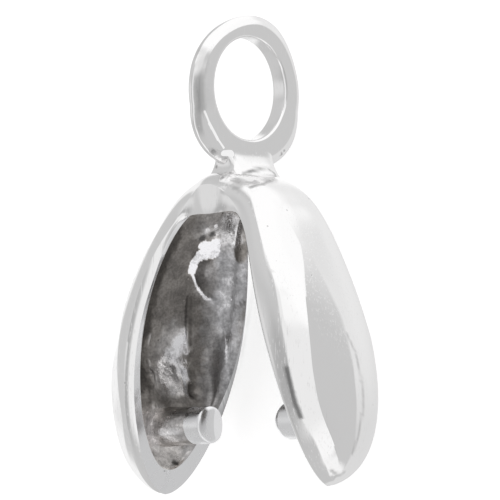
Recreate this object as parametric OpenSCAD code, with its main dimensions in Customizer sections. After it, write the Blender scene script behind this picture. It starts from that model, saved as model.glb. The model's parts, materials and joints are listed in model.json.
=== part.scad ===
// Pinch bail: the clasp that a drop or bead is squeezed into, with a ring above it for the chain.
// One piece of cast and soldered silver, lying on its side: X is the pinch axis, along both pegs
// and through the ring's hole, +Y runs up the bail to the ring, and z = 0 is the surface it lies on.

/* [Ring] */
// Diameter of the ring's hole
ring_bore_d = 2.8; // [2.4:0.05:3.2]
// Width of the ring's band at the top, from the hole to its outer edge
ring_band_w = 0.635; // [0.55:0.005:0.8]
// Distance of the outer circle's centre below the hole's, which makes the band thicker at its foot
ring_shift = 0.1; // [0:0.01:0.14]
// Thickness of the ring along its hole
ring_t = 0.57; // [0.45:0.01:0.7]
// Rounding of the hole's two edges
ring_bore_round = 0.05; // [0.02:0.01:0.08]

/* [Leaves] */
// Drop from the ring's centre to the rim at the top of the arch
arch_drop = 3.29; // [3.2:0.01:3.45]
// Drop from the ring's centre to the leaves' tips
tip_drop = 11.0; // [10.4:0.05:12]
// Distance of each tip from the middle plane
tip_spread = 3.05; // [2.8:0.05:3.4]
// Thickness of the wall
wall_t = 0.28; // [0.22:0.01:0.34]
// Length of solid metal between the cavity's end and each tip
tip_solid = 0.7; // [0.3:0.05:0.9]
// Share of the cavity's depth that is filled with metal round each peg's foot
end_fill = 0.68; // [0.4:0.02:0.75]
// Turn of each leaf about its own length at the tip, from bending by hand
leaf_turn = 10; // [0:0.5:12]
// Boxiness of a leaf's section: 2 is an ellipse
section_power = 3.2; // [2.4:0.1:4]
// Bluntness of the leaf's end, seen on its open side
tip_power = 5.7; // [4:0.1:8]

/* [Pegs] */
// Diameter of each peg's straight, free end
peg_d = 1.04; // [0.8:0.02:1.2]
// Diameter of its foot, inside the leaf's wall
peg_foot_d = 1.16; // [1.06:0.02:1.3]
// Length of its straight end and dome, before it tapers out to the foot
peg_straight = 1.0; // [0.8:0.05:1.1]
// Drop from the ring's centre to the pegs' axis
peg_drop = 9.15; // [8.8:0.05:9.4]
// Gap between the two pegs' ends
peg_gap = 2.4; // [1.8:0.1:3]
// Height of each peg's domed end
peg_dome_h = 0.48; // [0.3:0.02:0.52]

/* [Neck] */
// Thickness of the neck at its waist, along the ring's hole
neck_t = 1.14; // [1:0.02:1.2]
// Width of the neck at its waist
neck_w = 1.72; // [1.5:0.02:1.8]

/* [Hidden] */

ring_bore_r = ring_bore_d / 2;
ring_r = ring_bore_r + ring_band_w + ring_shift;

// Rim line of the right-hand leaf while the bail hangs upright: [x from the middle, z from the
// ring's centre], as a curve's control points at the arch, shoulder, waist, flank and tip.
RIM = [[0, -arch_drop], [1.7, -arch_drop], [1.3, -4.2], [2.25, -6.5], [tip_spread, -tip_drop]];
// Half the leaf's width, and its depth outside the rim, as control values from arch to tip.
HALF_WIDTH = [1.58, 0.85, 2.75, 1.95];
DEPTH = [1.04, 0.55, 1.08, 2.35];
// The outside's depth stays full almost to the tip, and the cavity runs narrow and shallow earlier.
depth_power = 8;
cavity_power = 4.5;
// Shares of the cavity's length between which the metal round the peg's foot rises
fill_from = 0.78;
fill_to = 0.88;

// Neck from inside the ring's band down into the arch's wall:
// [drop from the ring's centre, thickness as a share of neck_t, width as a share of neck_w].
NECK_ROWS = [
    [1.50, 0.40, 1.48],
    [1.67, 0.54, 1.50],
    [1.84, 0.76, 1.26],
    [2.00, 0.94, 1.04],
    [2.16, 1.00, 1.00],
    [2.30, 1.04, 1.03],
    [2.42, 1.16, 1.09],
    [2.54, 1.30, 1.18]
];
neck_power = 5;
neck_sides = 24;

// Fineness of the curved faces
stations = 32;
section_steps = 20;
round_steps = 8;
$fn = 96;

function mix(a, b, t) = a + (b - a) * t;

// Point, or value, at t on the curve of the control points p
function curve_at(p, t) =
    len(p) == 1 ? p[0]
    : curve_at([for (i = [0 : len(p) - 2]) mix(p[i], p[i + 1], t)], t);

// Direction and speed at t on the same curve
function slope_at(p, t) =
    (len(p) - 1) * curve_at([for (i = [0 : len(p) - 2]) p[i + 1] - p[i]], t);

function signed_pow(v, power) = sign(v) * pow(abs(v), power);

// 1 along the leaf, falling to 0 in a round end at t = 1
function closing(t, power) = sqrt(max(0, 1 - pow(t, power)));

function smooth_step(t) = let (u = min(1, max(0, t))) u * u * (3 - 2 * u);

// Share of the cavity's depth that stays open at share t of its length
function open_depth(t) = 1 - end_fill * smooth_step((t - fill_from) / (fill_to - fill_from));

// Where the cavity ends, as a share of the rim line
cavity_end = 1 - tip_solid / norm(slope_at(RIM, 1));

// Share of the rim line at station i, closer together near the tip
function station_share(i) = 1 - pow(1 - abs(i) / stations, 1.8);

// Point of the upright bail on a section of the leaf at share s of the rim line. side is -1 or 1,
// half_w and depth are the section's size, and angle runs from -90 on one rim to 90 on the other.
function leaf_point(s, side, half_w, depth, angle) =
    let (
        rim = curve_at(RIM, s),
        along = slope_at(RIM, s) / norm(slope_at(RIM, s)),
        turn = leaf_turn * smooth_step(s),
        across = half_w * signed_pow(sin(angle), 2 / section_power),
        outward = depth * signed_pow(cos(angle), 2 / section_power),
        out = outward * cos(turn) - across * sin(turn),
        wide = outward * sin(turn) + across * cos(turn)
    )
    [side * (rim.x - along.y * out), wide, rim.y + along.x * out];

// Point of the outside, and of the cavity, at share t of its length. Both close round at t = 1.
function outside(t, side, angle) =
    leaf_point(t, side,
        curve_at(HALF_WIDTH, t) * closing(t, tip_power),
        curve_at(DEPTH, t) * closing(t, depth_power), angle);

function inside(t, side, angle) =
    let (s = t * cavity_end)
    leaf_point(s, side,
        (curve_at(HALF_WIDTH, s) - wall_t) * closing(t, cavity_power),
        (curve_at(DEPTH, s) - wall_t) * closing(t, cavity_power) * open_depth(t), angle);

function step_angle(j) = -90 + 180 * j / section_steps;
function outer_point(i, j) = outside(station_share(i), sign(i), step_angle(j));
function inner_point(i, j) = inside(station_share(i), sign(i), step_angle(j));

// Shell of both leaves: an outer and an inner grid of rows from the left tip to the right one,
// each row from one rim to the other, then the two grids' end points.
rows = 2 * stations - 1;
row_len = section_steps + 1;
grid_len = rows * row_len;
OUTER = [for (r = [1 : rows]) for (j = [0 : section_steps]) outer_point(r - stations, j)];
INNER = [for (r = [1 : rows]) for (j = [0 : section_steps]) inner_point(r - stations, j)];
ENDS = [
    outer_point(-stations, 0), outer_point(stations, 0),
    inner_point(-stations, 0), inner_point(stations, 0)
];

// Index of row r, step j on the outer (g = 0) or inner (g = 1) grid
function at(g, r, j) = g * grid_len + r * row_len + j;
function end_at(g, last) = 2 * grid_len + 2 * g + (last ? 1 : 0);

// Two triangles of a four-cornered patch, and a triangle, turned over where flip is set
function patch(a, b, c, d, flip) = flip ? [[a, c, b], [a, d, c]] : [[a, b, c], [a, c, d]];
function tri(a, b, c, flip) = flip ? [[a, c, b]] : [[a, b, c]];

function grid_faces(g) = [
    for (r = [0 : rows - 2]) for (j = [0 : section_steps - 1])
        each patch(at(g, r, j), at(g, r, j + 1), at(g, r + 1, j + 1), at(g, r + 1, j), g == 1),
    for (j = [0 : section_steps - 1]) each tri(end_at(g, false), at(g, 0, j + 1), at(g, 0, j), g == 1),
    for (j = [0 : section_steps - 1])
        each tri(end_at(g, true), at(g, rows - 1, j), at(g, rows - 1, j + 1), g == 1)
];

// Flat of the rim between the two grids, along their edge at step j
function rim_faces(j, flip) = [
    for (r = [0 : rows - 2])
        each patch(at(0, r, j), at(0, r + 1, j), at(1, r + 1, j), at(1, r, j), flip),
    each patch(end_at(0, false), at(0, 0, j), at(1, 0, j), end_at(1, false), flip),
    each patch(at(0, rows - 1, j), end_at(0, true), end_at(1, true), at(1, rows - 1, j), flip)
];

// The bail lies on the ring and on both leaves: the least turn about the centre of the ring's outer
// circle that brings a point of the leaves down to the level of the ring's lowest point.
LEAVES = [for (p = concat(OUTER, ENDS)) [p.y, p.z + ring_shift]];
function turn_to_touch(p) = atan2(-p[1], p[0]) - acos(ring_r / norm(p));
lie_turn = min([for (p = LEAVES) if (norm(p) > ring_r && p[0] > 0) turn_to_touch(p)]);
// Lowest reach of the leaves along Y once lying, and the middle of the bail's length
leaf_reach = min([for (p = LEAVES) p[0] * sin(lie_turn) + p[1] * cos(lie_turn)]);
mid_y = (leaf_reach + ring_r) / 2;

// Takes the upright bail, drawn about the centre of the ring's hole, to where it lies
module lay_down() {
    translate([0, -mid_y, ring_r]) rotate([lie_turn - 90, 0, 0]) translate([0, 0, ring_shift]) children();
}

// Points of a quarter arc about [x, y] from angle a to b
function arc(x, y, rx, ry, a, b) = [
    for (k = [0 : round_steps])
        let (v = a + (b - a) * k / round_steps) [x + rx * cos(v), y + ry * sin(v)]
];

// Disc of the ring's outer edge, which is round from face to face
module ring_blank() {
    half_t = ring_t / 2;
    rotate_extrude() polygon(concat(
        [[0, half_t], [0, -half_t]],
        arc(ring_r - half_t, 0, half_t, half_t, -90, 0),
        arc(ring_r - half_t, 0, half_t, half_t, 0, 90)
    ));
}

// What the hole takes out of the disc, with its two edges rounded
module ring_bore() {
    edge = ring_bore_r + ring_bore_round;
    flat = ring_t / 2 - ring_bore_round;
    rotate_extrude() polygon(concat(
        [[0, -ring_t], [edge, -ring_t]],
        arc(edge, -flat, ring_bore_round, ring_bore_round, 270, 180),
        arc(edge, flat, ring_bore_round, ring_bore_round, 180, 90),
        [[edge, ring_t], [0, ring_t]]
    ));
}

module ring() {
    rotate([0, 90, 0]) difference() {
        translate([ring_shift, 0, 0]) ring_blank();
        ring_bore();
    }
}

module leaf_body() {
    polyhedron(
        points = concat(OUTER, INNER, ENDS),
        faces = concat(grid_faces(0), grid_faces(1), rim_faces(0, false), rim_faces(section_steps, true))
    );
}

function neck_ring(row) = [
    for (k = [0 : neck_sides - 1])
        let (a = 360 * k / neck_sides)
        [
            row[1] * neck_t / 2 * signed_pow(cos(a), 2 / neck_power),
            row[2] * neck_w / 2 * signed_pow(sin(a), 2 / neck_power),
            -row[0]
        ]
];

module neck() {
    levels = len(NECK_ROWS);
    polyhedron(
        points = [for (row = NECK_ROWS) each neck_ring(row)],
        faces = concat(
            [[for (k = [neck_sides - 1 : -1 : 0]) k]],
            [[for (k = [0 : neck_sides - 1]) (levels - 1) * neck_sides + k]],
            [for (r = [0 : levels - 2]) for (k = [0 : neck_sides - 1])
                let (n = (k + 1) % neck_sides, a = r * neck_sides, b = a + neck_sides)
                each patch(a + k, a + n, b + n, b + k, false)]
        )
    );
}

// Share of the leaf's length at which the middle of its outside has a given drop
function share_at_drop(drop, low = 0.3, high = 0.95, turns = 24) =
    turns == 0 ? low
    : let (middle = (low + high) / 2)
        -outside(middle, 1, 0).z < drop ? share_at_drop(drop, middle, high, turns - 1)
        : share_at_drop(drop, low, middle, turns - 1);

// Each peg starts inside the wall, one wall's thickness in from the outside
peg_base_x = outside(share_at_drop(peg_drop), 1, 0).x - wall_t;

// Peg of one leaf, from inside its wall to the domed end
module peg(side) {
    peg_r = peg_d / 2;
    peg_len = peg_base_x - peg_gap / 2;
    translate([side * peg_base_x, 0, -peg_drop]) rotate([0, -side * 90, 0])
        rotate_extrude() polygon(concat(
            [[0, 0], [peg_foot_d / 2, 0], [peg_r, peg_len - peg_straight]],
            arc(0, peg_len - peg_dome_h, peg_r, peg_dome_h, 0, 90)
        ));
}

module pinch_bail() {
    color([0.78, 0.78, 0.79]) lay_down() {
        ring();
        neck();
        leaf_body();
        peg(-1);
        peg(1);
    }
}

pinch_bail();
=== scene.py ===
"""Looks of a silver pinch bail, the clasp that a pendant's drop is squeezed into.

The bail lies on its side: X is the pinch axis, +Y runs up the bail to its ring, and z = 0 is the
surface that it lies on. Shapes are drawn as a maker would draw them, in millimetres from the centre
of the ring's hole with the bail hanging upright, and Placement takes them to the frame, in metres.
"""
import json
import logging
import math
from dataclasses import dataclass, field
from enum import Enum, IntEnum
from typing import Sequence

import bmesh
import bpy
import numpy as np
from mathutils import Matrix, Vector, noise


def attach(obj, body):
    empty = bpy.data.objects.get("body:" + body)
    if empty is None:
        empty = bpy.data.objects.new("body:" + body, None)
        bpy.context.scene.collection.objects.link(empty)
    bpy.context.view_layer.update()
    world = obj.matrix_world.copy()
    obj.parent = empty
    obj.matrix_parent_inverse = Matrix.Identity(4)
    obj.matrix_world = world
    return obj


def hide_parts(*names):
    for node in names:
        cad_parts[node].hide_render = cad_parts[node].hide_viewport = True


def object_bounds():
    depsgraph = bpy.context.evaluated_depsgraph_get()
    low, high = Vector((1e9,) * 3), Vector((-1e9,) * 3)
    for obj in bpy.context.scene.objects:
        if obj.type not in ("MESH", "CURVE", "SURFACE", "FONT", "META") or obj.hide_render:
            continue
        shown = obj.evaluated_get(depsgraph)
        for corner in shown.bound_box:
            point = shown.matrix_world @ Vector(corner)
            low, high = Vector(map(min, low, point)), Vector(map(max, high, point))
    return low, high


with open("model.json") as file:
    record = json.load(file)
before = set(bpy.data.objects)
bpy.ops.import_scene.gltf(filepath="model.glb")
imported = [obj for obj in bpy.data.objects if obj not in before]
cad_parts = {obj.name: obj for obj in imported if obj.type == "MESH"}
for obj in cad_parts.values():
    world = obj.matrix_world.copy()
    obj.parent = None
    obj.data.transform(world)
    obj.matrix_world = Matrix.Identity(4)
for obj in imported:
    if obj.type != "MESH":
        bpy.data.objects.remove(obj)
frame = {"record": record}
CAD_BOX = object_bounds()

MM = 0.001
TINY = 1e-9
LOG = logging.getLogger("pinch_bail")
# Values between which a noise texture goes from its darks to its lights.
NOISE_RANGE = (0.3, 0.7)
# Steps in which a section's length is measured, and steps of the easing between creases.
MEASURING_STEPS = 240
EASING_STEPS = 20


class Skin(IntEnum):
    """The three skins of the metal, in the order of the piece's material slots."""

    POLISHED = 0
    RIM = 1
    CAST = 2


class Side(IntEnum):
    """A side of the bail, seen from its front."""

    LEFT = -1
    RIGHT = 1


class Join(Enum):
    """How one closed mesh is worked into another, with the name that Blender has for it."""

    SOLDER = "UNION"
    DRILL = "DIFFERENCE"


def bezier(controls: Sequence, share: np.ndarray) -> np.ndarray:
    """Points of a Bezier curve.

    Args:
        controls: Control values or control points, from start to end.
        share: Shares of the way along the curve, each from 0 to 1.

    Returns:
        One row for each share.
    """
    points = np.array(controls, float).reshape(len(controls), 1, -1)
    share = np.asarray(share, float)[None, :, None]
    while len(points) > 1:
        points = points[:-1] + (points[1:] - points[:-1]) * share
    return points[0]


def bezier_slope(controls: Sequence, share: np.ndarray) -> np.ndarray:
    """Direction and speed of a Bezier curve.

    Args:
        controls: Control values or control points, from start to end.
        share: Shares of the way along the curve, each from 0 to 1.

    Returns:
        One row for each share.
    """
    points = np.array(controls, float).reshape(len(controls), -1)
    return (len(points) - 1) * bezier(np.diff(points, axis=0), share)


def smooth_step(value: np.ndarray) -> np.ndarray:
    """Rises smoothly from 0 to 1 as value does."""
    value = np.clip(value, 0, 1)
    return value * value * (3 - 2 * value)


def between(value: np.ndarray, start: float, end: float) -> np.ndarray:
    """Rises smoothly from 0, where value is start, to 1, where it is end."""
    return smooth_step((value - start) / (end - start))


def faded_ends(count: int, steps: float) -> np.ndarray:
    """1 along a row of places, falling smoothly to 0 at both of its ends over some steps."""
    place = np.arange(count)
    return smooth_step(np.minimum(place, place[::-1]) / steps)


def unit(vectors: np.ndarray) -> np.ndarray:
    """The directions of vectors, one to a row."""
    return vectors / np.maximum(np.linalg.norm(vectors, axis=-1, keepdims=True), TINY)


def ruffle(points: np.ndarray, size: float, seed: float) -> np.ndarray:
    """Smooth random values between about -1 and 1, the same in each run.

    Args:
        points: Places, one to a row.
        size: Distance over which the values change, in the places' own unit.
        seed: Shift that picks other values.

    Returns:
        A value for each place.
    """
    flat = (points.reshape(-1, 3) / size + seed).tolist()
    return np.array([noise.noise(place) for place in flat]).reshape(points.shape[:-1])


def soften(corners: Sequence, reach: float, steps: int) -> list[tuple[float, float]]:
    """Rounds the inner corners of an outline.

    Args:
        corners: The outline's corners, from start to end.
        reach: Distance from each corner at which its rounding begins.
        steps: Number of steps of each rounding.

    Returns:
        The softened outline's points.
    """
    corners = [np.array(corner, float) for corner in corners]
    outline = [tuple(corners[0])]
    for before, corner, after in zip(corners, corners[1:], corners[2:]):
        ends = [corner + (other - corner) * min(0.5, reach / np.linalg.norm(other - corner))
                for other in (before, after)]
        turn = bezier([ends[0], corner, ends[1]], np.linspace(0, 1, steps + 1))
        outline += [tuple(point) for point in turn]
    return outline + [tuple(corners[-1])]


def signed_power(value: np.ndarray, power: float) -> np.ndarray:
    """The power of the size of value, with value's own sign."""
    return np.sign(value) * np.abs(value) ** power


def settled(share: np.ndarray, reach: float) -> np.ndarray:
    """Share, held back near 0 so that what follows it has no kink where the two leaves meet."""
    return share * (1 - np.exp(-((share / reach) ** 2)))


def closing(share: np.ndarray, power: float) -> np.ndarray:
    """1 along a leaf, falling to 0 in a round end where share reaches 1."""
    return np.sqrt(np.maximum(0, 1 - share**power))


def arc(centre: tuple[float, float], radius: tuple[float, float], ends: tuple[float, float],
        steps: int) -> list[tuple[float, float]]:
    """Points of an arc of a circle or an ellipse.

    Args:
        centre: The arc's centre.
        radius: Its radius along each axis.
        ends: Angles at its two ends, in degrees.
        steps: Number of steps between the ends.

    Returns:
        The points, both ends included.
    """
    angles = np.radians(np.linspace(*ends, steps + 1))
    return [(centre[0] + radius[0] * math.cos(a), centre[1] + radius[1] * math.sin(a))
            for a in angles]


@dataclass(frozen=True)
class Placement:
    """Where the upright bail lies in the frame, read from the frame's own mounts.

    Args:
        hole: Centre of the ring's hole in the frame, in metres.
        turn: Lean of the bail's length from level, in radians.
    """

    hole: tuple[float, float, float]
    turn: float

    @classmethod
    def from_mounts(cls, mounts: list[dict]) -> "Placement":
        """Reads the placement from the ring's hole and a peg.

        Args:
            mounts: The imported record's mounts.

        Returns:
            The placement.
        """
        places = {mount["name"]: mount["pos_m"] for mount in mounts}
        hole, peg = places["ring_hole"], places["peg_right"]
        return cls(tuple(hole), math.atan2(hole[2] - peg[2], hole[1] - peg[1]))

    def direction(self, vectors: np.ndarray) -> np.ndarray:
        """Turns upright directions into the frame.

        Args:
            vectors: Directions, one to a row.

        Returns:
            The same directions as the bail lies.
        """
        x, y, z = np.moveaxis(np.asarray(vectors, float), -1, 0)
        c, s = math.cos(self.turn), math.sin(self.turn)
        return np.stack([x, y * s + z * c, -y * c + z * s], -1)

    def point(self, points: np.ndarray) -> np.ndarray:
        """Takes upright points in millimetres to the frame, in metres."""
        return self.direction(points) * MM + np.array(self.hole)

    def upright(self, points: np.ndarray) -> np.ndarray:
        """Takes points of the frame back to the upright drawing.

        Args:
            points: Points in metres, one to a row.

        Returns:
            The points in millimetres.
        """
        x, y, z = np.moveaxis((np.asarray(points, float) - np.array(self.hole)) / MM, -1, 0)
        c, s = math.cos(self.turn), math.sin(self.turn)
        return np.stack([x, y * s - z * c, y * c + z * s], -1)


@dataclass(frozen=True)
class Mark:
    """A place on the metal, round a point or along a line.

    Args:
        name: What is there.
        path: The point, or the line's points, upright, in millimetres.
        reach: How far it reaches from them.
    """

    name: str
    path: tuple[tuple[float, float, float], ...]
    reach: float

    def distance(self, points: np.ndarray) -> np.ndarray:
        """Distance of points from the mark's line.

        Args:
            points: Upright points, one to a row.

        Returns:
            Each one's distance, as a share of the mark's reach.
        """
        nearest = np.linalg.norm(points - np.array(self.path[0]), axis=-1)
        for start, end in zip(self.path, self.path[1:]):
            start, way = np.array(start), np.array(end) - np.array(start)
            share = np.clip((points - start) @ way / (way @ way), 0, 1)
            away = points - start - share[..., None] * way
            nearest = np.minimum(nearest, np.linalg.norm(away, axis=-1))
        return nearest / self.reach


@dataclass(frozen=True)
class Rise(Mark):
    """A rise of the metal, or a dent where its height is below 0, that fades out round its mark.

    Args:
        height: Height of its middle above the skin, in millimetres.
    """

    height: float

    def lift(self, points: np.ndarray) -> np.ndarray:
        """Height that the rise adds at upright points."""
        return self.height * np.exp(-self.distance(points) ** 2)


@dataclass(frozen=True)
class StainAndPaintedLight(Mark):
    """A patch of the skin that is brighter or darker than the rest; these serve for real stains and
    also for painted shade, painted highlights and painted reflections.

    Args:
        tone: Brightness of the silver there, from 0 to 1.
        warmth: How brown it is, from 0 to 1.
        soft: Share of its reach over which its edge fades.
        ragged: Share of its reach by which its edge wanders.
        glint: How far its small facets turn to the opening, from 0 to 1.
    """

    tone: float
    warmth: float = 0.3
    soft: float = 0.5
    ragged: float = 0.25
    glint: float = 0.0

    def cover(self, points: np.ndarray, wander: np.ndarray) -> np.ndarray:
        """How much of the stain lies on each upright point, from 0 to 1."""
        away = self.distance(points) + self.ragged * wander
        return smooth_step(0.5 + (1 - away) / self.soft)


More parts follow.
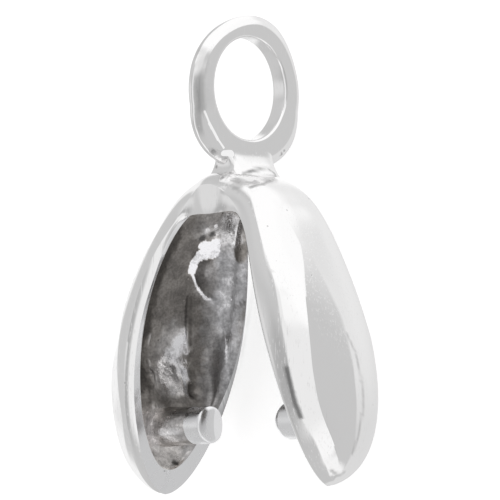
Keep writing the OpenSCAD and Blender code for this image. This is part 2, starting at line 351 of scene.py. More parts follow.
@dataclass
class CastSkin:
    """The skin inside the leaves, left as it was cast: its rises, its dents and its stains, with
    painted shade and painted highlights laid in among the stains.

    Args:
        tone: Brightness of the plain skin, from 0 to 1.
        warmth: How brown the plain skin is, from 0 to 1.
        wander: Size of the wandering of the stains' edges.
        finer: How many times finer its second layer is.
        finer_share: Strength of that layer.
        seeds: Seeds of the two layers.
        rises: Rises and dents.
        stains: Stains, painted shade, painted highlights and painted glints, each one over those
            before it.
    """

    tone: float = 0.27
    warmth: float = 0.55
    wander: float = 0.22
    finer: float = 3
    finer_share: float = 0.5
    seeds: tuple[float, float] = (3.1, 8.2)
    rises: tuple[Rise, ...] = (
        Rise("mass over the hook", ((-1.85, 0.2, -3.7), (-1.75, 0.9, -3.75)), 0.45, 0.14),
        Rise("bowl", ((-2.35, 1.05, -5.05),), 0.42, -0.06),
        Rise("bowl's edge", ((-2.42, 0.39, -4.9), (-2.5, 0.72, -5.27), (-2.52, 1.12, -5.58),
                             (-2.28, 1.5, -5.75)), 0.09, 0.04),
        Rise("corner groove", ((-2.7, 0.62, -5.6), (-3.0, 0.92, -6.8), (-2.95, 0.86, -7.8)), 0.08,
             -0.05),
        Rise("first rib", ((-2.22, 1.55, -6.7), (-2.1, 1.58, -7.8)), 0.06, 0.05),
        Rise("second rib", ((-2.0, 1.6, -7.1), (-2.0, 1.6, -7.8)), 0.06, 0.04),
        Rise("slab", ((-3.05, 0.15, -7.5), (-3.0, 0.2, -8.2)), 0.5, 0.08),
        Rise("pocket", ((-2.77, 0.82, -8.15),), 0.2, -0.14),
        Rise("lip", ((-3.17, -0.4, -7.66), (-2.97, -0.6, -8.25), (-2.98, -0.48, -8.63),
                     (-2.92, -0.15, -8.68), (-2.9, 0.05, -8.58), (-2.76, 0.72, -8.57)), 0.06, 0.05),
        Rise("near seam", ((-3.2, -0.42, -6.6), (-3.25, -0.36, -7.3), (-3.0, -0.48, -8.1)), 0.06,
             0.03),
    )
    stains: tuple[StainAndPaintedLight, ...] = (
        # Painted shade: the deep shade down the near wall's inner side, laid in as a dark tone.
        StainAndPaintedLight("near strip", ((-2.0, -0.75, -4.0), (-2.7, -0.9, -5.2), (-3.1, -0.8, -6.5),
                             (-3.05, -0.95, -7.9)), 0.36, 0.12, 0.7),
        StainAndPaintedLight("far wall", ((-2.3, 1.5, -5.9), (-2.4, 1.5, -8.3)), 0.55, 0.36, 0.2),
        StainAndPaintedLight("upper far wall", ((-1.75, 1.4, -4.5), (-2.0, 1.5, -5.6)), 0.55, 0.5, 0.0, 0.6, 0.2,
              0.5),
        StainAndPaintedLight("wall's light", ((-2.15, 1.65, -5.8), (-2.2, 1.65, -6.3)), 0.4, 0.5, 0.0, 1.2, 0.3,
              0.5),
        StainAndPaintedLight("lower far wall", ((-2.2, 1.65, -6.9), (-2.1, 1.7, -8.3)), 0.3, 0.42, 0.0, 1.2, 0.3,
              0.35),
        StainAndPaintedLight("roof", ((-1.75, 0.3, -3.55), (-1.65, 0.8, -3.65)), 0.5, 0.42, 0.35, 0.8, 0.3, 0.15),
        StainAndPaintedLight("roof's light", ((-1.85, 0.25, -3.75), (-1.8, 0.75, -3.7)), 0.2, 0.6, 0.15, 1.2, 0.6,
              0.35),
        StainAndPaintedLight("bright roof", ((-1.5, 1.0, -3.5), (-1.62, 1.05, -3.8), (-1.75, 1.15, -4.1)), 0.28,
              0.64, 0.1, 0.8, 0.25),
        StainAndPaintedLight("far wall's top", ((-1.4, 1.25, -3.6), (-1.5, 1.28, -4.0)), 0.22, 0.75, 0.1, 1.2, 0.3),
        StainAndPaintedLight("dark corner", ((-1.38, 1.33, -4.3), (-1.5, 1.4, -4.45)), 0.18, 0.3, 0.6, 0.4),
        # Painted highlight along the dark corner's edge.
        StainAndPaintedLight("corner's edge", ((-1.65, 1.2, -4.15), (-1.6, 1.26, -4.12)), 0.035, 0.97, 0.0, 0.5, 0.4,
              1.0),
        # Painted highlights: two light spots on the roof.
        StainAndPaintedLight("first light spot", ((-1.73, 0.33, -3.8),), 0.08, 0.66, 0.1, 1.4, 0.4, 1.0),
        StainAndPaintedLight("second light spot", ((-1.64, 0.58, -3.66),), 0.08, 0.66, 0.1, 1.4, 0.4, 1.0),
        StainAndPaintedLight("first dark spot", ((-1.76, 0.56, -3.87),), 0.1, 0.16, 0.3, 1.0),
        StainAndPaintedLight("second dark spot", ((-1.87, 0.3, -4.0),), 0.11, 0.18, 0.3, 1.0),
        StainAndPaintedLight("bowl", ((-2.36, 0.95, -4.98), (-2.4, 1.0, -5.2)), 0.34, 0.45, 0.2, 0.8, 0.25, 0.2),
        # Painted shade inside the bowl's upper edge.
        StainAndPaintedLight("bowl's shade", ((-2.28, 0.68, -4.65), (-2.38, 0.72, -4.95), (-2.46, 0.92, -5.3)), 0.2,
              0.22, 0.4, 1.0),
        # Painted highlight: the white hook, in three parts, at full bright tone.
        StainAndPaintedLight("hook's top", ((-1.95, 0.84, -4.1), (-2.03, 0.88, -4.45), (-2.14, 0.6, -4.4)), 0.2,
              0.97, 0.0, 0.1, 0.5, 1.0),
        StainAndPaintedLight("hook's shank", ((-2.1, 0.55, -4.36), (-2.28, 0.42, -4.62), (-2.41, 0.4, -4.86)), 0.15,
              0.97, 0.0, 0.1, 0.4, 1.0),
        StainAndPaintedLight("hook's shoulder", ((-1.98, 0.48, -4.22), (-2.0, 0.68, -4.3)), 0.17, 0.97, 0.0, 0.1,
              0.3, 1.0),
        # Painted highlight: the thin bright arc round the bowl.
        StainAndPaintedLight("bowl's edge", ((-2.42, 0.46, -4.95), (-2.5, 0.72, -5.27), (-2.52, 1.05, -5.56),
                              (-2.44, 1.2, -5.63), (-2.33, 1.31, -5.69)), 0.04, 0.97, 0.0, 0.4, 0.5,
              1.0),
        # Painted glints beside the bowl.
        StainAndPaintedLight("bowl's sparkles", ((-2.22, 1.45, -5.71),), 0.035, 0.97, 0.0, 0.4, 0.3, 1.0),
        StainAndPaintedLight("bowl's last sparkle", ((-1.99, 1.57, -5.75),), 0.03, 0.97, 0.0, 0.4, 0.3, 1.0),
        StainAndPaintedLight("far wall's pits", ((-1.62, 1.66, -5.72), (-1.75, 1.63, -5.85), (-1.9, 1.6, -5.78)),
              0.05, 0.16, 0.3, 1.0, 0.9),
        StainAndPaintedLight("far wall's edge", ((-1.6, 1.7, -4.6), (-1.9, 1.8, -6.0), (-1.95, 1.85, -8.4)), 0.2,
              0.5, 0.0, 1.2, 0.3, 0.4),
        StainAndPaintedLight("first rib", ((-2.22, 1.55, -6.7), (-2.1, 1.58, -7.8)), 0.05, 0.7, 0.0, 0.8, 0.4, 0.6),
        StainAndPaintedLight("floor's light", ((-3.05, 0.3, -6.2), (-3.1, 0.5, -6.5)), 0.1, 0.5, 0.2, 1.4),
        StainAndPaintedLight("light floor", ((-3.1, 0.45, -6.7), (-3.12, 0.3, -7.3), (-3.05, 0.1, -7.9)), 0.5,
              0.46, 0.25, 1.2, 0.3, 0.2),
        StainAndPaintedLight("sparkling patch", ((-3.08, 0.7, -6.75), (-3.1, 0.55, -7.1), (-3.1, 0.3, -7.4),
                                  (-3.08, 0.4, -7.6)), 0.27, 0.97, 0.0, 1.2, 0.5, 0.3),
        # Painted highlight along a seam.
        StainAndPaintedLight("bright seam", ((-3.04, 0.88, -6.85), (-3.0, 0.9, -7.3), (-2.93, 0.75, -7.75)), 0.11,
              0.97, 0.0, 0.5, 0.6, 0.8),
        StainAndPaintedLight("slab", ((-3.05, 0.15, -7.6), (-2.85, 0.15, -8.0)), 0.36, 0.72, 0.2, 0.8, 0.4, 0.0),
        # Painted highlight along the slab's edge.
        StainAndPaintedLight("slab's light edge", ((-3.02, 0.7, -7.5), (-2.92, 0.6, -7.9), (-2.82, 0.66, -8.25)),
              0.09, 0.97, 0.0, 1.0, 0.5, 0.1),
        StainAndPaintedLight("corner groove", ((-2.7, 0.66, -5.6), (-3.0, 0.98, -6.8), (-2.92, 0.95, -7.6)), 0.065,
              0.14, 0.6, 1.6, 0.5),
        StainAndPaintedLight("pocket", ((-2.8, 0.82, -8.0), (-2.75, 0.8, -8.25)), 0.12, 0.12, 0.6, 0.8),
        # Painted shade under the slab.
        StainAndPaintedLight("below the slab", ((-2.95, -0.2, -8.4), (-2.8, 0.5, -8.4)), 0.12, 0.2, 0.5, 0.8),
        StainAndPaintedLight("near seam", ((-3.2, -0.42, -6.6), (-3.25, -0.38, -7.3), (-3.0, -0.5, -8.1)), 0.05, 0.5,
              0.3, 0.8),
        StainAndPaintedLight("lip", ((-3.17, -0.4, -7.66), (-2.97, -0.6, -8.25), (-2.98, -0.48, -8.63),
                      (-2.92, -0.15, -8.68), (-2.9, 0.05, -8.58)), 0.035, 0.85, 0.2, 0.8, 0.2, 0.5),
        StainAndPaintedLight("filled end", ((-3.0, -0.5, -9.1), (-2.7, 0.0, -9.6), (-2.8, 0.1, -10.0)), 0.6, 0.64,
              0.35, 0.5, 0.25, 0.2),
        StainAndPaintedLight("peg's foot", ((-2.9, -0.45, -9.15), (-1.9, -0.45, -9.15)), 0.4, 0.62, 0.25, 0.6, 0.3,
              0.1),
        # Painted highlight on the peg's foot.
        StainAndPaintedLight("foot's light", ((-2.85, -0.55, -9.3), (-2.5, -0.52, -9.32), (-2.0, -0.5, -9.34)), 0.1,
              0.6, 0.1, 1.2, 0.6, 0.9),
        StainAndPaintedLight("filled end's near side", ((-3.05, -0.5, -9.2), (-3.0, -0.4, -9.6)), 0.2, 0.75, 0.2,
              1.0),
        StainAndPaintedLight("end's dark spot", ((-2.95, 0.25, -10.1), (-2.95, 0.35, -10.15)), 0.07, 0.1, 0.4, 1.0),
        StainAndPaintedLight("far low side", ((-2.7, 0.7, -9.75),), 0.3, 0.55, 0.2, 0.8, 0.5, 0.5),
        # Painted highlight on the peg's shaft.
        StainAndPaintedLight("shaft's light", ((-2.1, -0.5, -9.1), (-2.05, -0.5, -9.28)), 0.05, 0.97, 0.1, 1.0, 0.3,
              0.7),
    )

    def lift(self, points: np.ndarray) -> np.ndarray:
        """Height that the rises and dents add at upright points."""
        return sum(rise.lift(points) for rise in self.rises)

    def shade(self, points: np.ndarray) -> dict[str, np.ndarray]:
        """Lays the stains, the painted shade and the painted highlights on the plain skin.

        Args:
            points: Upright points, one to a row.

        Returns:
            Tone, warmth and glint by name, a value for each point.
        """
        wander = ruffle(points, self.wander, self.seeds[0])
        wander += self.finer_share * ruffle(points, self.wander / self.finer, self.seeds[1])
        found = {name: np.full(len(points), plain) for name, plain in
                 (("tone", self.tone), ("warmth", self.warmth), ("glint", 0.0))}
        for tone_mark in self.stains:
            share = tone_mark.cover(points, wander)
            for name, values in found.items():
                values += share * (getattr(tone_mark, name) - values)
        return found


def mesh_object(name: str, points: np.ndarray, faces: Sequence,
                edges: Sequence = ()) -> bpy.types.Object:
    """Makes a mesh object at the origin.

    Args:
        name: The object's name.
        points: Its corners, in metres.
        faces: Each face's corner numbers.
        edges: Loose edges' corner numbers, for an outline without faces.

    Returns:
        The new object, linked to the scene.
    """
    mesh = bpy.data.meshes.new(name)
    mesh.from_pydata(np.asarray(points).tolist(), list(edges), list(faces))
    mesh.validate()
    made = bpy.data.objects.new(name, mesh)
    bpy.context.scene.collection.objects.link(made)
    return made


def loop_faces(rows: int, count: int) -> list[list[int]]:
    """Faces between rows of corners, where each row closes in a loop.

    Args:
        rows: Number of rows.
        count: Number of corners in a row.

    Returns:
        Each face's corner numbers, row by row.
    """
    here = np.arange(count)
    after = (here + 1) % count
    base = (np.arange(rows - 1) * count)[:, None]
    faces = np.stack([base + here, base + after, base + count + after, base + count + here], -1)
    return faces.reshape(-1, 4).tolist()


def close_mesh(piece: bpy.types.Object, gap: float = TINY) -> None:
    """Merges a closed mesh's doubles and points its faces outwards.

    Args:
        piece: The object whose mesh is closed.
        gap: Distance under which two corners are one, in metres.
    """
    work = bmesh.new()
    work.from_mesh(piece.data)
    bmesh.ops.remove_doubles(work, verts=work.verts, dist=gap)
    bmesh.ops.dissolve_degenerate(work, edges=work.edges, dist=gap)
    if work.calc_volume(signed=True) < 0:
        bmesh.ops.reverse_faces(work, faces=work.faces)
    open_edges = sum(not edge.is_manifold for edge in work.edges)
    work.to_mesh(piece.data)
    work.free()
    LOG.info("%s: %d corners, %d open edges", piece.name, len(piece.data.vertices), open_edges)


def corners_of(piece: bpy.types.Object) -> np.ndarray:
    """Reads a piece's corners.

    Args:
        piece: The object.

    Returns:
        The corners, one to a row.
    """
    points = np.zeros(len(piece.data.vertices) * 3, np.float32)
    piece.data.vertices.foreach_get("co", points)
    return points.reshape(-1, 3).astype(float)


def move_corners(piece: bpy.types.Object, points: np.ndarray) -> None:
    """Moves a piece's corners to the given points."""
    piece.data.vertices.foreach_set("co", np.asarray(points, np.float32).ravel())
    piece.data.update()


def bake_modifiers(piece: bpy.types.Object) -> None:
    """Turns an object and its modifiers into one plain mesh.

    Args:
        piece: The object.
    """
    graph = bpy.context.evaluated_depsgraph_get()
    plain = bpy.data.meshes.new_from_object(piece.evaluated_get(graph), depsgraph=graph,
                                            preserve_all_data_layers=True)
    piece.modifiers.clear()
    old, piece.data = piece.data, plain
    plain.name = piece.name
    bpy.data.meshes.remove(old)


def combine(piece: bpy.types.Object, other: bpy.types.Object, join: Join) -> None:
    """Solders another closed mesh to a piece, or drills the piece by it, and deletes the other.

    Args:
        piece: The object that stays.
        other: The object that it is combined with.
        join: What is done.
    """
    made = piece.modifiers.new(join.name, "BOOLEAN")
    made.operation, made.solver, made.object = join.value, "MANIFOLD", other
    made.material_mode = "TRANSFER"
    bake_modifiers(piece)
    used = other.data
    bpy.data.objects.remove(other)
    bpy.data.meshes.remove(used)


class Tree:
    """A node tree under construction: adds nodes and wires them by socket name."""

    def __init__(self, tree: bpy.types.NodeTree) -> None:
        """Keeps the tree and clears its nodes."""
        self.tree = tree
        self.tree.nodes.clear()

    @classmethod
    def group(cls, name: str, inputs: dict[str, tuple[str, object]], outputs: dict[str, str],
              kind: str = "ShaderNodeTree") -> "Tree":
        """Starts a node group.

        Args:
            name: The group's name.
            inputs: Each named input's socket type and default value.
            outputs: Each named output's socket type.
            kind: The type of its tree.

        Returns:
            The tree, with its sockets made.
        """
        made = cls(bpy.data.node_groups.new(name, kind))
        sockets = made.tree.interface
        for label, (socket_type, default) in inputs.items():
            socket = sockets.new_socket(label, in_out="INPUT", socket_type=socket_type)
            if default is not None:
                socket.default_value = default
        for label, socket_type in outputs.items():
            sockets.new_socket(label, in_out="OUTPUT", socket_type=socket_type)
        made.given = made.tree.nodes.new("NodeGroupInput").outputs
        made.result = made.tree.nodes.new("NodeGroupOutput").inputs
        return made

    @classmethod
    def shape(cls, name: str, inputs: dict[str, tuple[str, object]]) -> "Tree":
        """Starts a Geometry Nodes tree with a material.

        Args:
            name: The tree's name.
            inputs: Each named input's socket type and default value, between Geometry and Material.

        Returns:
            The tree, with its sockets made.
        """
        inputs = {"Geometry": ("NodeSocketGeometry", None), **inputs,
                  "Material": ("NodeSocketMaterial", None)}
        return cls.group(name, inputs, {"Geometry": "NodeSocketGeometry"}, "GeometryNodeTree")

    def node(self, kind: str, settings: dict | None = None, **values: object) -> bpy.types.Node:
        """Adds a node.

        Args:
            kind: The node's type.
            settings: Its properties, by name.
            **values: Its inputs, by name with _ for a space, or by place as in_0.

        Returns:
            The new node.
        """
        made = self.tree.nodes.new(kind)
        for name, value in (settings or {}).items():
            setattr(made, name, value)
        for name, value in values.items():
            by_place = name.startswith("in_")
            socket = made.inputs[int(name[3:])] if by_place else made.inputs[name.replace("_", " ")]
            if isinstance(value, bpy.types.NodeSocket):
                self.tree.links.new(value, socket)
            else:
                socket.default_value = value
        return made

    def maths(self, operation: str, *values: object, clamp: bool = False) -> bpy.types.NodeSocket:
        """Adds a Math node.

        Args:
            operation: What it does.
            *values: Its values, in order.
            clamp: Whether its result is kept between 0 and 1.

        Returns:
            The result.
        """
        places = {f"in_{i}": value for i, value in enumerate(values)}
        settings = {"operation": operation, "use_clamp": clamp}
        return self.node("ShaderNodeMath", settings, **places).outputs[0]

    def vector(self, operation: str, *values: object, **named: object) -> bpy.types.NodeSocket:
        """Adds a Vector Math node.

        Args:
            operation: What it does.
            *values: Its vectors, in order.
            **named: Its other inputs, by name.

        Returns:
            The result, a number where the operation gives one.
        """
        places = {f"in_{i}": value for i, value in enumerate(values)}
        made = self.node("ShaderNodeVectorMath", {"operation": operation}, **places, **named)
        return made.outputs["Value" if operation in ("DOT_PRODUCT", "DISTANCE") else "Vector"]

    def ramp(self, value: object, low: object, high: object, start: object = 0.0,
             end: object = 1.0) -> bpy.types.NodeSocket:
        """A value carried smoothly from the range low to high into the range start to end."""
        return self.node("ShaderNodeMapRange", {"interpolation_type": "SMOOTHSTEP"}, Value=value,
                         From_Min=low, From_Max=high, To_Min=start, To_Max=end).outputs["Result"]

    def blend(self, share: object, first: object, second: object) -> bpy.types.NodeSocket:
        """The mix of two colours, all of the second where share is 1."""
        return self.node("ShaderNodeMix", {"data_type": "RGBA"}, in_0=share, in_6=first,
                         in_7=second).outputs[2]

    def noise(self, **values: object) -> bpy.types.NodeSocket:
        """The value of a Noise Texture node with the given inputs."""
        return self.node("ShaderNodeTexNoise", **values).outputs[0]

    def attribute(self, name: str) -> bpy.types.NodeSocket:
        """The value of an attribute of the piece."""
        return self.node("ShaderNodeAttribute", {"attribute_name": name}).outputs["Fac"]

    def millimetres(self) -> bpy.types.NodeSocket:
        """The place on the piece in Object coordinates, in millimetres."""
        return self.vector("SCALE", self.node("ShaderNodeTexCoord").outputs["Object"], Scale=1 / MM)

    def surface(self, **values: object) -> None:
        """Ends a material in a Principled surface with the given inputs."""
        made = self.node("ShaderNodeBsdfPrincipled", **values)
        self.node("ShaderNodeOutputMaterial", Surface=made.outputs[0])

    def give(self, **values: bpy.types.NodeSocket) -> bpy.types.NodeTree:
        """Ends a group.

        Args:
            **values: What each of its named outputs gives.

        Returns:
            The finished group.
        """
        for name, value in values.items():
            self.tree.links.new(value, self.result[name])
        return self.tree

    def give_shape(self, geometry: bpy.types.NodeSocket, **values: object) -> bpy.types.NodeTree:
        """Ends a shape's tree in Realize Instances and Set Material.

        Args:
            geometry: The shape.
            **values: Other inputs of Set Material.

        Returns:
            The finished tree.
        """
        real = self.node("GeometryNodeRealizeInstances", Geometry=geometry)
        dressed = self.node("GeometryNodeSetMaterial", Geometry=real.outputs["Geometry"],
                            Material=self.given["Material"], **values)
        return self.give(Geometry=dressed.outputs["Geometry"])


def apply_shape(piece: bpy.types.Object, tree: bpy.types.NodeTree,
                values: dict[str, object]) -> None:
    """Runs a Geometry Nodes tree on a piece and keeps the result as its plain mesh.

    Args:
        piece: The object.
        tree: The tree.
        values: The modifier's inputs, by name.
    """
    made = piece.modifiers.new(tree.name, "NODES")
    made.node_group = tree
    names = {item.name: item.identifier for item in tree.interface.items_tree
             if item.in_out == "INPUT"}
    for name, value in values.items():
        made[names[name]] = value
    bake_modifiers(piece)


def turned_part_tree() -> bpy.types.NodeTree:
    """A tree that spins an outline round the Z axis, then turns and moves the part.

    The outline's x is the distance from the axis and its y the height along it.

    Returns:
        The tree, with named inputs for the steps, the place and the material.
    """
    tree = Tree.shape("turned_part", {
        "Segments": ("NodeSocketInt", 96),
        "Turn": ("NodeSocketVector", (0.0, 0.0, 0.0)),
        "Place": ("NodeSocketVector", (0.0, 0.0, 0.0)),
        "Path": ("NodeSocketFloat", 1e-7),
        "Weld": ("NodeSocketFloat", 5e-7),
    })
    outline = tree.node("GeometryNodeMeshToCurve", Mesh=tree.given["Geometry"])
    path = tree.node("GeometryNodeCurvePrimitiveCircle", Resolution=tree.given["Segments"],
                     Radius=tree.given["Path"])
    spun = tree.node("GeometryNodeCurveToMesh", Curve=path.outputs["Curve"],
                     Profile_Curve=outline.outputs["Curve"])
    welded = tree.node("GeometryNodeMergeByDistance", Geometry=spun.outputs["Mesh"],
                       Distance=tree.given["Weld"])
    placed = tree.node("GeometryNodeTransform", Geometry=welded.outputs["Geometry"],
                       Translation=tree.given["Place"], Rotation=tree.given["Turn"])
    return tree.give_shape(placed.outputs["Geometry"])


def skin_tree() -> bpy.types.NodeTree:
    """A tree that roughens a skin: it moves the corners along their normals by noise.

    Returns:
        The tree, with named inputs for the masking attribute, the grain and the seed.
    """
    tree = Tree.shape("metal_skin", {
        "Mask": ("NodeSocketString", "cast"),
        "Coarse Size": ("NodeSocketFloat", 0.0005),
        "Coarse Depth": ("NodeSocketFloat", 0.00005),
        "Coarse Detail": ("NodeSocketFloat", 1.0),
        "Fine Size": ("NodeSocketFloat", 0.0001),
        "Fine Depth": ("NodeSocketFloat", 0.00001),
        "Fine Detail": ("NodeSocketFloat", 3.0),
        "Level": ("NodeSocketFloat", 0.5),
        "Seed": ("NodeSocketFloat", 7.0),
        "Skin": ("NodeSocketInt", int(Skin.CAST)),
    })
    mask = tree.node("GeometryNodeInputNamedAttribute", {"data_type": "FLOAT"},
                     Name=tree.given["Mask"]).outputs["Attribute"]
    heights = []
    for layer in ("Coarse", "Fine"):
        grain = tree.node("ShaderNodeTexNoise", {"noise_dimensions": "4D"}, W=tree.given["Seed"],
                          Scale=tree.maths("DIVIDE", 1.0, tree.given[layer + " Size"]),
                          Detail=tree.given[layer + " Detail"])
        centred = tree.maths("SUBTRACT", grain.outputs[0], tree.given["Level"])
        heights.append(tree.maths("MULTIPLY", centred, tree.given[layer + " Depth"]))
    height = tree.maths("MULTIPLY", tree.maths("ADD", *heights), mask)
    normal = tree.node("GeometryNodeInputNormal").outputs["Normal"]
    moved = tree.node("GeometryNodeSetPosition", Geometry=tree.given["Geometry"],
                      Offset=tree.vector("SCALE", normal, Scale=height))
    number = tree.node("GeometryNodeInputMaterialIndex").outputs["Material Index"]
    chosen = tree.node("FunctionNodeCompare", {"data_type": "INT", "operation": "EQUAL"},
                       in_2=number, in_3=tree.given["Skin"])
    return tree.give_shape(moved.outputs["Geometry"], Selection=chosen.outputs["Result"])


@dataclass(frozen=True)
class Grain:
    """How uneven one skin of the leaves is, in millimetres.

    Args:
        skin: The skin.
        mask: The attribute that fades it out towards its edges.
        coarse: Size and depth of the coarse unevenness.
        fine: Size and depth of the fine unevenness.
        level: Share of the noise's range that lies below the smooth skin.
    """

    skin: Skin
    mask: str
    coarse: tuple[float, float]
    fine: tuple[float, float]
    level: float

    def inputs(self) -> dict[str, object]:
        """The inputs of the tree that roughens a skin.

        Returns:
            Each input's value, by name.
        """
        found = {"Mask": self.mask, "Level": self.level, "Skin": int(self.skin)}
        for layer, (size, depth) in (("Coarse", self.coarse), ("Fine", self.fine)):
            found |= {layer + " Size": size * MM, layer + " Depth": depth * MM}
        return found


@dataclass(frozen=True)
class Lathe:
    """Makes the turned parts, which all lie round the pinch axis.

    Args:
        place: Where the bail lies.
        tree: The tree that turns a part.
    """

    place: Placement
    tree: bpy.types.NodeTree

    def turn(self, name: str, outline: Sequence[tuple[float, float]], centre: Sequence[float],
             segments: int, side: Side = Side.RIGHT) -> bpy.types.Object:
        """Turns one part.

        Args:
            name: The object's name.
            outline: Distances from the axis and heights along it, in millimetres.
            centre: The outline's origin, upright, in millimetres.
            segments: Steps round the part.
            side: The side that the heights start from.

        Returns:
            The part, as a closed mesh.
        """
        points = np.array([(x, y, 0) for x, y in outline]) * MM
        made = mesh_object(name, points, [], [(i, i + 1) for i in range(len(points) - 1)])
        apply_shape(made, self.tree, {
            "Segments": segments,
            "Turn": (0.0, side * math.pi / 2, 0.0),
            "Place": tuple(self.place.point(np.array(centre))),
        })
        close_mesh(made)
        return made


@dataclass(frozen=True)
class Crease:
    """Where the outside's soft creases cross one section of a leaf.

    Args:
        share: The section's share of the leaf, from arch to tip.
        edge: Degrees round the section, from its middle, of the crease next to the side wall.
        shoulder: Degrees of the crease between the bevel and the back.
        ridge: Degrees of the ridge down the back, towards the near side.
        bevel: How flat the bevel between edge and shoulder is, from 0 to 1.
        back: How flat the back is on each side of the ridge, from 0 to 1.
    """

    share: float
    edge: float
    shoulder: float
    ridge: float
    bevel: float
    back: float


@dataclass
class LeafBody:
    """Both hollow leaves: one wall bent over the arch at the top, its open sides facing each other.

    Args:
        rim: Rim line of one leaf, as control points, x from the middle and z from the ring's hole.
        half_width: Half the leaf's width, as control values from arch to tip.
        depth: Depth of the outside from the rim, as control values from arch to tip.
        wall: Thickness of the wall.
        tip_solid: Length of solid metal between the cavity's end and the tip.
        end_fill: Share of the cavity's depth that is filled round the peg's foot.
        fill_rise: Shares of the cavity's length between which that metal rises.
        turn: Turn of the leaf about its own length at the tip, in degrees.
        section_power: Boxiness of the leaf's section.
        tip_power: Bluntness of the leaf's end, seen on its open side.
        depth_power: Bluntness of its end, seen from the side.
        cavity_power: Bluntness of the cavity's end.
        edge_round: Rounding of the rim's inner edge.
        edge_most: Largest shares of the cavity's depth and of the rim's flat that this takes.
        arch_round: Rounding of the wall's outer edge at the arch, where it isn't filed.
        arch_most: Largest share of the outside's depth that this takes, and its share of the flat.
        arch_reach: Share of the leaf over which that rounding turns into the filed edge.
        arch_ease: Share of the leaf over which its sizes settle to where the leaves meet.
        far_thin: Share of the far rim's flat that its cast inner edge takes up.
        far_fall: How far that edge reaches down the wall.
        far_rise: Shares of the leaf between which that edge grows.
        far_end: Shares of the leaf between which it ends.
        near_filing: How far the near edge is filed off down the wall and across the rim's flat, on
            the left leaf and on the right.
        far_filing: The same for both leaves' far edges.
        filing_most: Largest shares of the outside's depth and of the rim's flat that filing takes.
        filing_grows: How much smaller filing is next to the arch, from 0 to 1.
        filing_rise: Shares of the leaf between which it grows to its full size.
        filing_crown: How far a filed edge's middle stands out, as a share of its size.
        creases: The outside's creases, from arch to tip.
        crease_ease: Share of the leaf over which the creases' turns are eased.
        crease_most: Share of the way to the rim that the edge's crease stays within.
        far_side: Flatness of the far side's bevel and back, as a share of the near side's.
        facet_steps: Steps of a section's outside, from the rim to each crease and on to the rim.
        stations: Sections from the arch to each tip.
        crowding: How much closer together they stand towards the tip.
        inner_steps: Steps of a section's inside.
        corner_steps: Steps of a rounded edge.
        skin_fade: Steps from the rim, and sections from the tip, over which the cast skin sets in.
        mask_fade: The same for the masks of the skins' grain.
        skin: The cast skin of the cavity.
    """

    rim: tuple[tuple[float, float], ...] = (
        (0, -3.29), (1.7, -3.29), (1.3, -4.2), (2.25, -6.5), (3.05, -11.0))
    half_width: tuple[float, ...] = (1.58, 0.85, 2.75, 1.95)
    depth: tuple[float, ...] = (1.04, 0.55, 1.08, 2.35)
    wall: float = 0.28
    tip_solid: float = 0.7
    end_fill: float = 0.68
    fill_rise: tuple[float, float] = (0.78, 0.88)
    turn: float = 10.0
    section_power: float = 3.2
    tip_power: float = 5.7
    depth_power: float = 8.0
    cavity_power: float = 4.5
    edge_round: float = 0.045
    edge_most: tuple[float, float] = (0.35, 0.25)
    arch_round: float = 0.62
    arch_most: tuple[float, float] = (0.6, 0.72)
    arch_reach: float = 0.3
    arch_ease: float = 0.07
    far_thin: float = 0.75
    far_fall: float = 0.3
    far_rise: tuple[float, float] = (0.12, 0.24)
    far_end: tuple[float, float] = (0.87, 0.93)
    near_filing: tuple[tuple[float, float], ...] = ((0.19, 0.20), (0.07, 0.05))
    far_filing: tuple[float, float] = (0.06, 0.05)
    filing_most: tuple[float, float] = (0.2, 0.75)
    filing_grows: float = 0.6
    filing_rise: tuple[float, float] = (0.3, 0.6)
    filing_crown: float = 0.06
    creases: tuple[Crease, ...] = (
        Crease(0.00, 70, 36, 0, 0.0, 0.0),
        Crease(0.22, 71, 26, 2, 0.1, 0.1),
        Crease(0.37, 69, 15, 5, 0.3, 0.4),
        Crease(0.47, 65, 10, 6, 0.5, 0.7),
        Crease(0.55, 62, 16, 3, 0.7, 0.8),
        Crease(0.62, 63, 25, 1, 0.8, 0.85),
        Crease(0.71, 71, 37, 0, 0.85, 0.85),
        Crease(0.77, 75, 46, 1, 0.85, 0.85),
        Crease(0.82, 80, 54, 2, 0.85, 0.85),
        Crease(0.88, 84, 60, 6, 0.85, 0.85),
        Crease(0.92, 81, 58, 10, 0.85, 0.8),
        Crease(0.96, 73, 47, 16, 0.8, 0.7),
        Crease(1.00, 62, 32, 20, 0.6, 0.5),
    )
    crease_ease: float = 0.035
    crease_most: float = 0.98
    far_side: float = 0.15
    facet_steps: tuple[int, ...] = (8, 14, 18, 18, 14, 8)
    stations: int = 168
    crowding: float = 1.25
    inner_steps: int = 132
    corner_steps: int = 6
    skin_fade: tuple[int, int] = (8, 12)
    mask_fade: tuple[int, int] = (5, 6)
    skin: CastSkin = field(default_factory=CastSkin)

    def surface(self, share: np.ndarray, side: np.ndarray, across: np.ndarray,
                outward: np.ndarray) -> np.ndarray:
        """Points of the upright bail, given by their place in the leaf's sections.

        Args:
            share: Each section's share of the rim line.
            side: Each section's side, as Side numbers it, or 0 between the leaves.
            across: Distance across the leaf, a row for each section.
            outward: Depth from the rim, a row for each section.

        Returns:
            The points, in millimetres.
        """
        rim = bezier(self.rim, share)[:, None, :]
        along = unit(bezier_slope(self.rim, share))[:, None, :]
        turn = np.radians(self.turn) * smooth_step(share)[:, None]
        out = outward * np.cos(turn) - across * np.sin(turn)
        wide = outward * np.sin(turn) + across * np.cos(turn)
        x = side[:, None] * (rim[..., 0] - along[..., 1] * out)
        return np.stack([x, wide, rim[..., 1] + along[..., 0] * out], -1)

